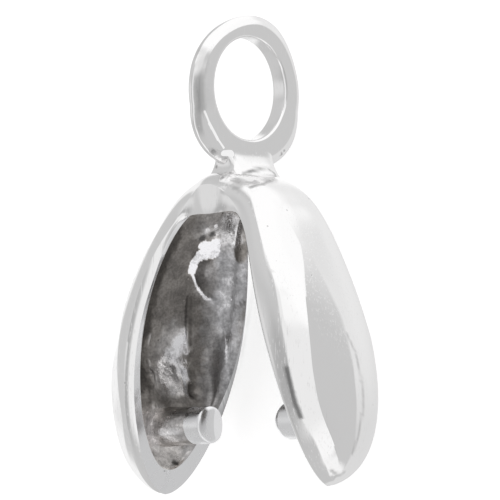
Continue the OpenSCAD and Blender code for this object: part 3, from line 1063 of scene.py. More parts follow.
    def _round(self, half_width: float, depth: float, angles: np.ndarray) -> np.ndarray:
        """Points of one section.

        Args:
            half_width: The section's half width.
            depth: Its depth.
            angles: Angles round it from its middle, in radians.

        Returns:
            Distances across and depths, a row for each angle.
        """
        power = 2 / self.section_power
        return np.stack([half_width * signed_power(np.sin(angles), power),
                         depth * signed_power(np.cos(angles), power)], -1)

    def _limits(self, depth: np.ndarray, start: np.ndarray) -> np.ndarray:
        """Angle at which each section's wall gives way to the rim's edge, start below the rim."""
        low = np.clip(start / np.maximum(depth, TINY), 0, 1)
        return np.arccos(low ** (self.section_power / 2))

    def _span(self, half_width: float, depth: float, ends: tuple[float, float],
              steps: int) -> np.ndarray:
        """Points in even steps along part of a section.

        Args:
            half_width: The section's half width.
            depth: Its depth.
            ends: Angles of the part's two ends, in radians.
            steps: Number of steps.

        Returns:
            Distances across and depths, a row for each point, both ends included.
        """
        points = self._round(half_width, depth, np.linspace(*ends, MEASURING_STEPS + 1))
        length = np.concatenate([[0], np.cumsum(np.linalg.norm(np.diff(points, axis=0), axis=1))])
        even = np.linspace(0, length[-1], steps + 1)
        return np.stack([np.interp(even, length, points[:, i]) for i in (0, 1)], -1)

    def _hollow(self, half_width: np.ndarray, depth: np.ndarray, near: np.ndarray,
                far: np.ndarray) -> tuple[np.ndarray, ...]:
        """Sections of the cavity, in even steps from rim to rim.

        Args:
            half_width: Each section's half width.
            depth: Its depth.
            near: Depth at which its near edge's rounding ends.
            far: Depth at which its far edge's rounding ends.

        Returns:
            Distances across and depths, a row for each section.
        """
        limits = zip(self._limits(depth, near), self._limits(depth, far))
        rows = [self._span(w, d, (-start, end), self.inner_steps)
                for w, d, (start, end) in zip(half_width, depth, limits)]
        return tuple(np.moveaxis(np.array(rows), -1, 0))

    def _outside(self, share: np.ndarray, half_width: np.ndarray, depth: np.ndarray,
                 near: np.ndarray, far: np.ndarray) -> tuple[np.ndarray, ...]:
        """Sections of the outside, with its bevels and its back flattened between the creases.

        Args:
            share: Each section's share of the leaf.
            half_width: Its half width.
            depth: Its depth.
            near: Depth at which its near edge's filing ends.
            far: Depth at which its far edge's filing ends.

        Returns:
            Distances across and depths, a row for each section.
        """
        table = np.array([(c.share, c.edge, c.shoulder, c.ridge, c.bevel, c.back)
                          for c in self.creases])
        ease = np.linspace(-1, 1, EASING_STEPS + 1)
        weights = (1 + np.cos(ease * math.pi)) / np.sum(1 + np.cos(ease * math.pi))
        spread = np.abs(share[:, None] + ease * self.crease_ease)
        edge, shoulder, ridge, bevel, back = (np.interp(spread, table[:, 0], table[:, i]) @ weights
                                              for i in range(1, 6))
        edge, shoulder, ridge = np.radians(edge), np.radians(shoulder), np.radians(ridge)
        ends = np.stack([self._limits(depth, near), self._limits(depth, far)], 1)
        rows = []
        for i, (w, d, (first, last)) in enumerate(zip(half_width, depth, ends)):
            walls = [min(edge[i], end * self.crease_most) for end in (first, last)]
            backs = [min(shoulder[i], wall) for wall in walls]
            turns = (-first, -walls[0], -backs[0], -ridge[i], backs[1], walls[1], last)
            flats = (0, bevel[i], back[i], back[i] * self.far_side, bevel[i] * self.far_side, 0)
            row = [self._round(w, d, np.array([-first]))]
            for stretch, steps, flat in zip(zip(turns, turns[1:]), self.facet_steps, flats):
                span = self._span(w, d, stretch, steps)
                way = np.linspace(0, 1, steps + 1)[:, None]
                chord = span[0] + (span[-1] - span[0]) * way
                row.append((span + (chord - span) * flat)[1:])
            rows.append(np.concatenate(row))
        return tuple(np.moveaxis(np.array(rows), -1, 0))

    def _sizes(self, share: np.ndarray) -> tuple[np.ndarray, ...]:
        """Half width and depth of the outside, and of the cavity, at shares of their lengths.

        Args:
            share: Share of each one's own length, from the arch.

        Returns:
            The outside's half width and depth, then the cavity's share, half width and depth.
        """
        slope = bezier_slope(self.rim, np.array([1.0]))[0]
        inner = share * (1 - self.tip_solid / np.linalg.norm(slope))
        filled = between(share, *self.fill_rise)
        shut = closing(share, self.cavity_power)
        out, into = settled(share, self.arch_ease), settled(inner, self.arch_ease)
        return (
            bezier(self.half_width, out)[:, 0] * closing(share, self.tip_power),
            bezier(self.depth, out)[:, 0] * closing(share, self.depth_power),
            inner,
            (bezier(self.half_width, into)[:, 0] - self.wall) * shut,
            (bezier(self.depth, into)[:, 0] - self.wall) * shut * (1 - self.end_fill * filled),
        )

    def _corner(self, wall: np.ndarray, flat: np.ndarray, down: np.ndarray, drop: np.ndarray,
                into: np.ndarray, filed: np.ndarray) -> np.ndarray:
        """Points of an edge between a wall and the rim's flat.

        Args:
            wall: Where the wall meets the edge, a point for each section.
            flat: Direction along the flat, away from the edge.
            down: Direction down the wall to the flat.
            drop: The edge's size down the wall.
            into: Its size along the flat.
            filed: How much the edge is filed off in a bevel, from 0, where it is round, to 1.

        Returns:
            The points after the wall's own, up to the one on the flat, section by section.
        """
        share = np.linspace(0, 1, self.corner_steps + 1)[None, 1:, None]
        filed = np.asarray(filed)[:, None, None]
        crown = self.filing_crown * np.sin(share * math.pi)
        along = (1 - np.cos(share * math.pi / 2)) * (1 - filed) + (share - crown) * filed
        fall = np.sin(share * math.pi / 2) * (1 - filed) + (share + crown) * filed
        return (wall[:, None] + flat[:, None] * into[:, None, None] * along
                + down[:, None] * drop[:, None, None] * fall)

    def build(self, place: Placement) -> bpy.types.Object:
        """Builds the wall as one closed mesh.

        Args:
            place: Where the bail lies.

        Returns:
            The object, with a material number for each skin and a mask for the cast and the
            polished skin.
        """
        step = np.arange(-self.stations, self.stations + 1)
        share = 1 - (1 - np.abs(step) / self.stations) ** self.crowding
        side = np.sign(step).astype(float)
        width, depth, inner_share, inner_width, inner_depth = self._sizes(share)
        room, deepest = np.maximum(0, width - inner_width), inner_depth * self.edge_most[0]
        size = np.minimum(np.minimum(self.edge_round, deepest), room * self.edge_most[1])
        arch = 1 - smooth_step(share / self.arch_reach)
        near, far = (self._filing(np.where(side < 0, *pair), depth, room, arch) for pair in (
            np.array(self.near_filing)[:, :, None], np.array([self.far_filing] * 2)[:, :, None]))
        small = (1 - arch) * self.filing_grows * (1 - between(share, *self.filing_rise))
        near = [part * (1 - small) for part in near]
        thin = between(share, *self.far_rise) * (1 - between(share, *self.far_end))
        far_size = size + (np.minimum(self.far_fall, deepest) - size) * thin
        far_into = size + (room * self.far_thin - size) * thin
        outside = self.surface(share, side, *self._outside(share, width, depth, near[0], far[0]))
        inside = self.surface(inner_share, side,
                              *self._hollow(inner_width, inner_depth, size, far_size))
        inside = self._cast(inside, self.surface(inner_share, side, *np.zeros((2, len(share), 1))))
        zero = np.zeros((len(share), 1))
        down = self.surface(share, side, zero, zero) - self.surface(share, side, zero, zero + 1)
        down = unit(down[:, 0])
        corners = []
        for edge, filing, fall, back in ((-1, far, far_size, far_into), (0, near, size, size)):
            flat = unit(inside[:, edge] - outside[:, edge])
            corners.append((self._corner(outside[:, edge], flat, down, *filing, 1 - arch),
                            self._corner(inside[:, edge], -flat, down, fall, back, 0 * arch)))
        (far_out, far_in), (near_out, near_in) = corners
        loop = np.concatenate([outside, far_out, far_in[:, ::-1], inside[:, ::-1], near_in,
                               near_out[:, ::-1]], axis=1)
        return self._loft(loop, *self._skins(), place)

    def _filing(self, size: np.ndarray, depth: np.ndarray, room: np.ndarray,
                arch: np.ndarray) -> tuple[np.ndarray, np.ndarray]:
        """Size of an outer edge's filing, which turns into the arch's rounding.

        Args:
            size: Its size down the wall and across the flat, in two rows.
            depth: Each section's depth.
            room: Width of its rim.
            arch: Share of the arch's rounding in it.

        Returns:
            The size down the wall and the size across the flat, for each section.
        """
        drop = np.minimum(size[0], depth * self.filing_most[0])
        into = np.minimum(size[1], room * self.filing_most[1])
        drop += (np.minimum(self.arch_round, depth * self.arch_most[0]) - drop) * arch
        return drop, into + (room * self.arch_most[1] - into) * arch

    def _cast(self, inside: np.ndarray, middle: np.ndarray) -> np.ndarray:
        """Gives the cavity the rises and dents of its cast skin.

        Args:
            inside: Points of the smooth cavity, section by section.
            middle: The middle of each section's opening.

        Returns:
            The points moved along the skin's own normals.
        """
        normal = unit(np.cross(np.gradient(inside, axis=0), np.gradient(inside, axis=1)))
        normal *= np.sign(np.sum(normal * (middle - inside), axis=(-2, -1), keepdims=True))
        rows, steps = inside.shape[:2]
        fade = np.outer(faded_ends(rows, self.skin_fade[1]), faded_ends(steps, self.skin_fade[0]))
        return inside + normal * (self.skin.lift(inside) * fade)[..., None]

    def _skins(self) -> tuple[np.ndarray, dict[str, np.ndarray]]:
        """The skin of each strip round a section, and each skin's mask.

        Returns:
            A skin number for each strip of faces, then masks by name, a value for each corner.
        """
        outer, inner, corner = sum(self.facet_steps), self.inner_steps, self.corner_steps
        count = outer + inner + 2 + 4 * corner
        first_in = outer + 1 + 2 * corner
        last_in = first_in + inner
        skins = np.full(count, int(Skin.POLISHED))
        skins[outer + corner] = skins[last_in + corner] = Skin.RIM
        skins[outer + corner + 1:last_in + 1] = Skin.CAST
        cast, polished = np.zeros(count), np.zeros(count)
        cast[first_in:last_in + 1] = faded_ends(inner + 1, self.mask_fade[0])
        polished[:outer + 1] = faded_ends(outer + 1, self.mask_fade[0])
        return skins, {"cast": cast, "polished": polished}

    def _loft(self, loop: np.ndarray, skins: np.ndarray, masks: dict[str, np.ndarray],
              place: Placement) -> bpy.types.Object:
        """Joins the sections' loops into one closed mesh.

        Args:
            loop: Points round each section, in millimetres.
            skins: Skin number of each strip.
            masks: Mask values of each corner of a section, by name.
            place: Where the bail lies.

        Returns:
            The mesh object.
        """
        rows, count = loop.shape[:2]
        made = mesh_object("pinch_bail_silver", place.point(loop.reshape(-1, 3)),
                           loop_faces(rows, count))
        made.data.polygons.foreach_set("material_index", np.tile(skins, rows - 1).astype(np.int32))
        ends = faded_ends(rows, self.mask_fade[1])
        for name, values in masks.items():
            mask = made.data.attributes.new(name, "FLOAT", "POINT")
            mask.data.foreach_set("value", np.outer(ends, values).ravel().astype(np.float32))
        close_mesh(made)
        return made


@dataclass
class Ring:
    """The closed ring at the top, which the chain or cord runs through.

    Args:
        hole: Radius of its hole.
        band: Width of the band at the top.
        shift: Distance of the outer circle's centre below the hole's.
        thickness: Thickness along the hole.
        bevel: Width of the bevel on each face, towards the hole.
        bevel_depth: Depth of the bevel along the hole.
        bevel_crown: How far the bevel's middle stands out.
        edge_soft: Softness of the bevel's edges.
        hole_round: Rounding of the hole's edges.
        spread: How much wider each millimetre below the hole's middle is than a round disc.
        spread_from: Drop from the hole's middle where that begins.
        skew: How far the top leans to the far side.
        skew_from: Height above the hole's middle where that begins.
        segments: Steps round the ring.
        steps: Steps of each softened edge.
    """

    hole: float = 1.4
    band: float = 0.635
    shift: float = 0.1
    thickness: float = 0.57
    bevel: float = 0.29
    bevel_depth: float = 0.22
    bevel_crown: float = 0.018
    edge_soft: float = 0.05
    hole_round: float = 0.12
    spread: float = 0.13
    spread_from: float = 0.55
    skew: float = 0.12
    skew_from: float = 0.5
    segments: int = 192
    steps: int = 6

    def blank(self, lathe: Lathe) -> bpy.types.Object:
        """Builds the disc of the outer edge, bevelled on both faces and a little out of round.

        Args:
            lathe: What turns it.

        Returns:
            The blank.
        """
        half, reach = self.thickness / 2, self.hole + self.band + self.shift
        face, low = np.array([reach - self.bevel, half]), np.array([reach, half - self.bevel_depth])
        out = unit(np.array([self.bevel_depth, self.bevel]))
        crown = (face + low) / 2 + out * self.bevel_crown
        upper = [np.array([0, half]), face, crown, low]
        corners = [corner * (1, -1) for corner in upper] + upper[::-1]
        made = lathe.turn("ring_blank", soften(corners, self.edge_soft, self.steps),
                          (0, 0, -self.shift), self.segments)
        points = lathe.place.upright(corners_of(made))
        beneath = np.maximum(0, -points[:, 2] - self.spread_from)
        above = np.maximum(0, points[:, 2] - self.skew_from)
        points[:, 1] = points[:, 1] * (1 + self.spread * beneath) + self.skew * above**2
        move_corners(made, lathe.place.point(points))
        return made

    def bore(self, lathe: Lathe) -> bpy.types.Object:
        """Builds what the hole takes out of the disc, with its edges rounded.

        Args:
            lathe: What turns it.

        Returns:
            The bore.
        """
        size, flat = self.hole_round, self.thickness / 2 - self.hole_round
        edge, far = self.hole + size, self.thickness
        low = arc((edge, -flat), (size, size), (270, 180), self.steps)
        high = arc((edge, flat), (size, size), (180, 90), self.steps)
        outline = [(0, -far), (edge, -far), *low, *high, (edge, far), (0, far)]
        return lathe.turn("ring_bore", outline, (0, 0, 0), self.segments)


@dataclass
class Neck:
    """The short flared neck that the ring is soldered on with.

    Args:
        thickness: Its thickness at the waist, along the ring's hole.
        width: Its width at the waist.
        rows: Drop from the hole's centre, share of thickness and share of width, down the neck.
        power: Boxiness of its section.
        sides: Steps round it.
        levels: Sections down it.
        rises: The solder's beads and dents.
    """

    thickness: float = 1.14
    width: float = 1.72
    rows: tuple[tuple[float, float, float], ...] = (
        (1.50, 0.48, 1.10),
        (1.67, 0.505, 1.08),
        (1.84, 0.60, 1.05),
        (2.00, 0.74, 1.01),
        (2.16, 0.90, 1.00),
        (2.30, 1.05, 1.03),
        (2.42, 1.19, 1.09),
        (2.54, 1.34, 1.18),
    )
    power: float = 5.0
    sides: int = 96
    levels: int = 48
    rises: tuple[Rise, ...] = (
        Rise("solder bead", ((0.6, 0.1, -2.3), (0.62, 0.45, -2.34)), 0.16, 0.05),
        Rise("solder's fold", ((0.6, -0.5, -2.26), (0.56, 0.0, -2.2)), 0.07, 0.03),
    )

    def build(self, place: Placement) -> bpy.types.Object:
        """Builds the neck as one closed mesh.

        Args:
            place: Where the bail lies.

        Returns:
            The mesh object.
        """
        drop, thick, wide = self._smooth_rows().T
        angle = np.linspace(0, 2 * math.pi, self.sides, endpoint=False)
        x = np.outer(thick * self.thickness / 2, signed_power(np.cos(angle), 2 / self.power))
        y = np.outer(wide * self.width / 2, signed_power(np.sin(angle), 2 / self.power))
        z = np.repeat(-drop[:, None], self.sides, axis=1)
        points = np.stack([x, y, z], -1)
        away = unit(points * np.array([1, 1, 0]))
        for rise in self.rises:
            points = points + away * rise.lift(points)[..., None]
        top = list(range(self.sides))
        foot = [corner + (self.levels - 1) * self.sides for corner in top]
        faces = loop_faces(self.levels, self.sides) + [top[::-1], foot]
        made = mesh_object("neck", place.point(points.reshape(-1, 3)), faces)
        close_mesh(made)
        return made

    def _smooth_rows(self) -> np.ndarray:
        """The rows, with smooth ones between them.

        Returns:
            Drop and the two shares, a row for each level.
        """
        rows = np.array(self.rows)
        slope = np.gradient(rows[:, 1:], rows[:, 0], axis=0)
        drop = np.linspace(rows[0, 0], rows[-1, 0], self.levels)
        left = np.clip(np.searchsorted(rows[:, 0], drop, side="right") - 1, 0, len(rows) - 2)
        span = (rows[left + 1, 0] - rows[left, 0])[:, None]
        t = ((drop - rows[left, 0])[:, None]) / span
        value = ((2 * t**3 - 3 * t**2 + 1) * rows[left, 1:]
                 + (t**3 - 2 * t**2 + t) * span * slope[left]
                 + (3 * t**2 - 2 * t**3) * rows[left + 1, 1:]
                 + (t**3 - t**2) * span * slope[left + 1])
        return np.column_stack([drop, value])


@dataclass(frozen=True)
class PegEnd:
    """How one peg's free end is dressed.

    Args:
        side: The peg's side.
        dome: Length of its dome.
        power: Boxiness of the dome.
        bright: Length of the end that is polished.
        ground: Slope of the facet ground on the end's far half.
    """

    side: Side
    dome: float
    power: float
    bright: float
    ground: float = 0.0


@dataclass
class Pegs:
    """The two round pegs that go into the drop's hole, from inside each leaf's wall.

    Args:
        diameter: Diameter of their straight, free ends.
        foot: Diameter of their feet.
        straight: Length of each straight end with its dome, before it tapers out to the foot.
        drop: Drop from the hole's centre to their axis.
        gap: Distance between their ends.
        ends: How each free end is dressed.
        end_inset: How far an end's middle is ground back.
        end_aside: How far towards the far side that is measured.
        base: Distance of each foot from the middle, inside the wall.
        segments: Steps round a peg.
        steps: Steps of each dome.
    """

    diameter: float = 1.04
    foot: float = 1.16
    straight: float = 1.0
    drop: float = 9.15
    gap: float = 2.4
    ends: tuple[PegEnd, ...] = (PegEnd(Side.LEFT, 0.18, 2.8, 0.66, 0.32),
                                PegEnd(Side.RIGHT, 0.5, 1.35, 1.3))
    end_inset: float = 0.01
    end_aside: float = 0.04
    base: float = 3.9
    segments: int = 96
    steps: int = 20

    def build(self, lathe: Lathe) -> list[bpy.types.Object]:
        """Builds both pegs.

        Args:
            lathe: What turns them.

        Returns:
            A closed mesh for each peg.
        """
        return [self._peg(end, lathe) for end in self.ends]

    def _peg(self, end: PegEnd, lathe: Lathe) -> bpy.types.Object:
        """Builds one peg.

        Args:
            end: How its free end is dressed.
            lathe: What turns it.

        Returns:
            The peg.
        """
        radius, foot, length = self.diameter / 2, self.foot / 2, self.base - self.gap / 2
        tapered, power = length - self.straight, 2 / end.power
        angles = np.linspace(0, math.pi / 2, self.steps + 1)
        outline = [(0, 0), (foot, 0)]
        outline += [(max(radius, foot + (radius - foot) * height / tapered), height)
                    for height in sorted((tapered, length - end.bright))]
        outline += [(radius * math.cos(a) ** power if a < angles[-1] else 0,
                     length - end.dome + end.dome * math.sin(a) ** power) for a in angles]
        made = lathe.turn("peg", outline, (end.side * self.base, 0, -self.drop), self.segments,
                          end.side)
        points = lathe.place.upright(corners_of(made))
        ground = self.gap / 2 + self.end_inset + end.ground * (points[:, 1] - self.end_aside)
        points[:, 0] = end.side * np.maximum(np.abs(points[:, 0]), ground)
        move_corners(made, lathe.place.point(points))
        bright = (self.gap / 2 + end.bright) * MM
        for face in made.data.polygons:
            face.material_index = Skin.CAST if abs(face.center.x) > bright else Skin.RIM
        return made


def start_material(name: str) -> tuple[bpy.types.Material, Tree]:
    """Starts a material.

    Args:
        name: Its name.

    Returns:
        The material and its empty tree.
    """
    made = bpy.data.materials.new(name)
    made.use_nodes = True
    return made, Tree(made.node_tree)


def wear_group() -> bpy.types.NodeTree:
    """The wear that all the skins share: cloudy patches, pits and fine scratches along the bail.

    Returns:
        The shader group, measured in millimetres, with values from 0 to 1 and a height.
    """
    tree = Tree.group("silver_wear", {
        "Cloud Scale": ("NodeSocketFloat", 1.5),
        "Pit Scale": ("NodeSocketFloat", 2.0),
        "Pit Share": ("NodeSocketFloat", 0.3),
        "Pit Size": ("NodeSocketFloat", 0.08),
        "Scratch Scale": ("NodeSocketFloat", 24.0),
        "Scratch Depth": ("NodeSocketFloat", 0.15),
        "Depth": ("NodeSocketFloat", 0.01),
    }, dict.fromkeys(("Clouds", "Pits", "Scratches", "Height"), "NodeSocketFloat"))
    drawn_out, scratch_range = (1.0, 0.06, 1.0), (0.58, 0.72)
    place = tree.millimetres()
    clouds = tree.noise(Vector=place, Scale=tree.given["Cloud Scale"], Detail=4.0)
    cells = tree.node("ShaderNodeTexVoronoi", Vector=place, Scale=tree.given["Pit Scale"])
    choice = tree.node("ShaderNodeSeparateColor", Color=cells.outputs["Color"]).outputs[0]
    chosen = tree.maths("LESS_THAN", choice, tree.given["Pit Share"])
    pits = tree.maths("MULTIPLY", chosen, tree.ramp(cells.outputs["Distance"], 0.0,
                                                    tree.given["Pit Size"], 1.0, 0.0))
    lines = tree.noise(Vector=tree.vector("MULTIPLY", place, drawn_out), Detail=2.0,
                       Scale=tree.given["Scratch Scale"])
    scratches = tree.ramp(lines, *scratch_range)
    hollow = tree.maths("MULTIPLY_ADD", scratches, tree.given["Scratch Depth"], pits)
    height = tree.maths("MULTIPLY", hollow, tree.maths("MULTIPLY", tree.given["Depth"], -1.0))
    return tree.give(Clouds=tree.ramp(clouds, *NOISE_RANGE), Pits=pits, Scratches=scratches,
                     Height=height)


def facet_group() -> bpy.types.NodeTree:
    """A small filed facet, given by a line and how far it reaches from it.

    Returns:
        The shader group, in millimetres, with a mask that is 1 on the facet.
    """
    tree = Tree.group("filed_facet", {
        "Start": ("NodeSocketVector", None),
        "End": ("NodeSocketVector", None),
        "Reach": ("NodeSocketFloat", 0.05),
    }, {"Mask": "NodeSocketFloat"})
    fade = (0.8, 1.1)
    away, along = (tree.vector("SUBTRACT", end, tree.given["Start"])
                   for end in (tree.millimetres(), tree.given["End"]))
    share = tree.maths("DIVIDE", tree.vector("DOT_PRODUCT", away, along),
                       tree.vector("DOT_PRODUCT", along, along), clamp=True)
    distance = tree.vector("DISTANCE", away, tree.vector("SCALE", along, Scale=share))
    reached = tree.maths("DIVIDE", distance, tree.given["Reach"])
    return tree.give(Mask=tree.ramp(reached, *fade, 1.0, 0.0))


def turned_normal(tree: Tree, share: bpy.types.NodeSocket,
                  facing: np.ndarray) -> tuple[bpy.types.NodeSocket, bpy.types.NodeSocket]:
    """Turns the surface's normal to a facet's direction.

    Args:
        tree: The material's tree.
        share: How far it turns, from 0 to 1.
        facing: The direction that the facet faces, in the frame.

    Returns:
        The turned normal, and the strength that is left for bumps.
    """
    smoothing = 0.75
    turned = tree.vector("SCALE", tuple(facing), Scale=share)
    own = tree.vector("SCALE", tree.node("ShaderNodeNewGeometry").outputs["Normal"],
                      Scale=tree.maths("SUBTRACT", 1.0, share))
    normal = tree.vector("NORMALIZE", tree.vector("ADD", own, turned))
    return normal, tree.maths("MULTIPLY_ADD", share, -smoothing, 1.0)


@dataclass(frozen=True)
class WornSilver:
    """Silver that was smoothed, and has worn and tarnished since, with a painted reflection laid into
    its darkening.

    Args:
        name: The material's name.
        color: Colour of the bare silver.
        smooth: Its roughness where it is clear.
        cloudy: Its roughness where it is clouded.
        pit_share: Share of the pits that are there.
        depth: Depth of the pits, in millimetres.
        facets: Small facets that a file left, each along a line.
        facing: Direction that those face, upright.
        pit_dark: How much darker a pit is.
        scratch_rough: How much rougher a scratch is.
        tarnish_and_shade_rough: How much rougher full darkening is, on tarnish and on painted shade
            alike.
    """

    name: str
    color: tuple[float, float, float]
    smooth: float
    cloudy: float
    pit_share: float
    depth: float
    facets: tuple[Mark, ...] = ()
    facing: tuple[float, float, float] = (0.705, -0.659, 0.263)
    pit_dark: float = 0.45
    scratch_rough: float = 0.05
    tarnish_and_shade_rough: float = 0.3

    def material(self, wear: bpy.types.NodeTree, filed: bpy.types.NodeTree,
                 place: Placement) -> bpy.types.Material:
        """Builds the material.

        Args:
            wear: The shader group of the shared wear.
            filed: The shader group of a filed facet.
            place: Where the bail lies.

        Returns:
            The material.
        """
        made, tree = start_material(self.name)
        worn = tree.node("ShaderNodeGroup", {"node_tree": wear}, Pit_Share=self.pit_share,
                         Depth=self.depth).outputs
        # Darkening read from the piece: tarnish and marks, and also painted shade, the dark
        # reflection band on the ring's bevel.
        tarnish = tree.attribute("tarnish")
        dark = tree.maths("MAXIMUM", tarnish, tree.maths("MULTIPLY", worn["Pits"], self.pit_dark))
        rough = tree.ramp(worn["Clouds"], 0.0, 1.0, self.smooth, self.cloudy)
        rough = tree.maths("MULTIPLY_ADD", worn["Scratches"], self.scratch_rough, rough)
        bump = {"Distance": MM, "Height": worn["Height"]}
        share = None
        for facet in self.facets:
            start, end = (tuple(point) for point in place.point(np.array(facet.path)) / MM)
            mask = tree.node("ShaderNodeGroup", {"node_tree": filed}, Start=start, End=end,
                             Reach=facet.reach).outputs["Mask"]
            share = tree.maths("MAXIMUM", share, mask) if share else mask
        if share:
            facing = place.direction(self.facing)
            bump["Normal"], bump["Strength"] = turned_normal(tree, share, facing)
        tree.surface(
            Base_Color=tree.vector("SCALE", self.color, Scale=tree.maths("SUBTRACT", 1.0, dark)),
            Roughness=tree.maths("MULTIPLY_ADD", tarnish, self.tarnish_and_shade_rough, rough),
            Metallic=1.0,
            Normal=tree.node("ShaderNodeBump", **bump).outputs[0],
        )
        return made


POLISHED_SILVER = WornSilver("polished_silver", (0.94, 0.935, 0.935), 0.07, 0.13, 0.22, 0.008, (
    Mark("streak's upper part", ((0.25, -1.83, -0.72), (0.28, -1.6, -1.17)), 0.035),
    Mark("streak's middle", ((0.27, -1.67, -1.04), (0.28, -1.34, -1.46)), 0.05),
    Mark("streak's lower part", ((0.28, -1.4, -1.4), (0.27, -1.1, -1.68)), 0.035),
    Mark("facet at its foot", ((0.22, -1.05, -1.82), (0.3, -0.82, -1.82)), 0.1),
))
FILED_SILVER = WornSilver("filed_rim", (0.92, 0.92, 0.93), 0.18, 0.3, 0.15, 0.006)


@dataclass(frozen=True)
class CastSilver:
    """Silver as cast inside the leaves: rough, and darkened, with painted shade and painted
    highlights in its tone.

    Args:
        name: The material's name.
        bright: Colour of its bright patches.
        brown: Colour of its brown patches.
        grain: Fine grains to a millimetre.
        blotch: Blotches to a millimetre.
        lumps: Lumps to a millimetre.
        grain_tones: Tone of a dark and of a light grain, as a share of the skin's.
        blotch_tones: The same for blotches.
        lump_tones: The same for lumps.
        pit_tone: Tone of a pit, as a share of the skin's.
        pits: The wear group's values for the pits.
        sparks: The wear group's values for the small bright spots, which are painted glints.
        spark_tone: Tone up to which such a spot grows brighter with the skin.
        spark_gain: How much brighter it is than the skin.
        brightest: Tone that nothing goes over.
        rough_tones: Tones between which the roughness falls.
        roughness: Roughness at those two tones.
        grain_depth: Height of the fine grains, in millimetres.
        lump_depth: Height of the lumps, in millimetres.
        facing: Direction that the glinting facets face, upright, on the left leaf.
    """

    name: str = "cast_silver"
    bright: tuple[float, ...] = (0.99, 0.985, 1.01, 1)
    brown: tuple[float, ...] = (1.08, 0.965, 0.84, 1)
    grain: float = 14.0
    blotch: float = 2.0
    lumps: float = 5.0
    grain_tones: tuple[float, float] = (0.84, 1.16)
    blotch_tones: tuple[float, float] = (0.82, 1.2)
    lump_tones: tuple[float, float] = (0.9, 1.1)
    pit_tone: float = 0.6
    pits: dict[str, float] = field(default_factory=lambda: {
        "Pit_Scale": 3.4, "Pit_Share": 0.12, "Pit_Size": 0.12, "Depth": 0.02})
    sparks: dict[str, float] = field(default_factory=lambda: {
        "Pit_Scale": 8.0, "Pit_Share": 0.04, "Pit_Size": 0.22})
    spark_tone: float = 0.5
    spark_gain: float = 1.6
    brightest: float = 0.97
    rough_tones: tuple[float, float] = (0.1, 0.9)
    roughness: tuple[float, float] = (0.5, 0.2)
    grain_depth: float = 0.004
    lump_depth: float = 0.012
    facing: tuple[float, float, float] = (0.57, -0.6, -0.56)

    def material(self, wear: bpy.types.NodeTree, place: Placement) -> bpy.types.Material:
        """Builds the material.

        Args:
            wear: The shader group of the shared wear.
            place: Where the bail lies.

        Returns:
            The material.
        """
        made, tree = start_material(self.name)
        worn = tree.node("ShaderNodeGroup", {"node_tree": wear}, Cloud_Scale=self.blotch,
                         **self.pits).outputs
        # Painted glints: small bright spots from the wear group's pit cells, added to the tone.
        sparks = tree.node("ShaderNodeGroup", {"node_tree": wear}, **self.sparks).outputs["Pits"]
        where = tree.millimetres()
        fine, lumps = (tree.noise(Vector=where, Scale=scale, Detail=3.0, Roughness=0.6)
                       for scale in (self.grain, self.lumps))
        # The tone attribute carries the cavity's stains and also its painted shade and painted
        # highlights.
        tone = tree.attribute("tone")
        for factor in (tree.ramp(fine, *NOISE_RANGE, *self.grain_tones),
                       tree.ramp(worn["Clouds"], 0.0, 1.0, *self.blotch_tones),
                       tree.ramp(lumps, *NOISE_RANGE, *self.lump_tones),
                       tree.ramp(worn["Pits"], 0.0, 1.0, 1.0, self.pit_tone)):
            tone = tree.maths("MULTIPLY", tone, factor)
        spark = tree.maths("MULTIPLY", sparks, tree.maths("MINIMUM", tone, self.spark_tone))
        tone = tree.maths("MULTIPLY_ADD", spark, self.spark_gain, tone)
        tone = tree.maths("MINIMUM", tone, self.brightest)
        tint = tree.blend(tree.attribute("warmth"), self.bright, self.brown)
        height = tree.maths("MULTIPLY_ADD", fine, self.grain_depth, worn["Height"])
        height = tree.maths("MULTIPLY_ADD", lumps, self.lump_depth, height)
        normal, strength = turned_normal(tree, tree.attribute("glint"), place.direction(self.facing))
        tree.surface(
            Base_Color=tree.vector("SCALE", tint, Scale=tone),
            Roughness=tree.ramp(tone, *self.rough_tones, *self.roughness),
            Metallic=1.0,
            Normal=tree.node("ShaderNodeBump", Strength=strength, Distance=MM, Height=height,
                             Normal=normal).outputs[0],
        )
        return made


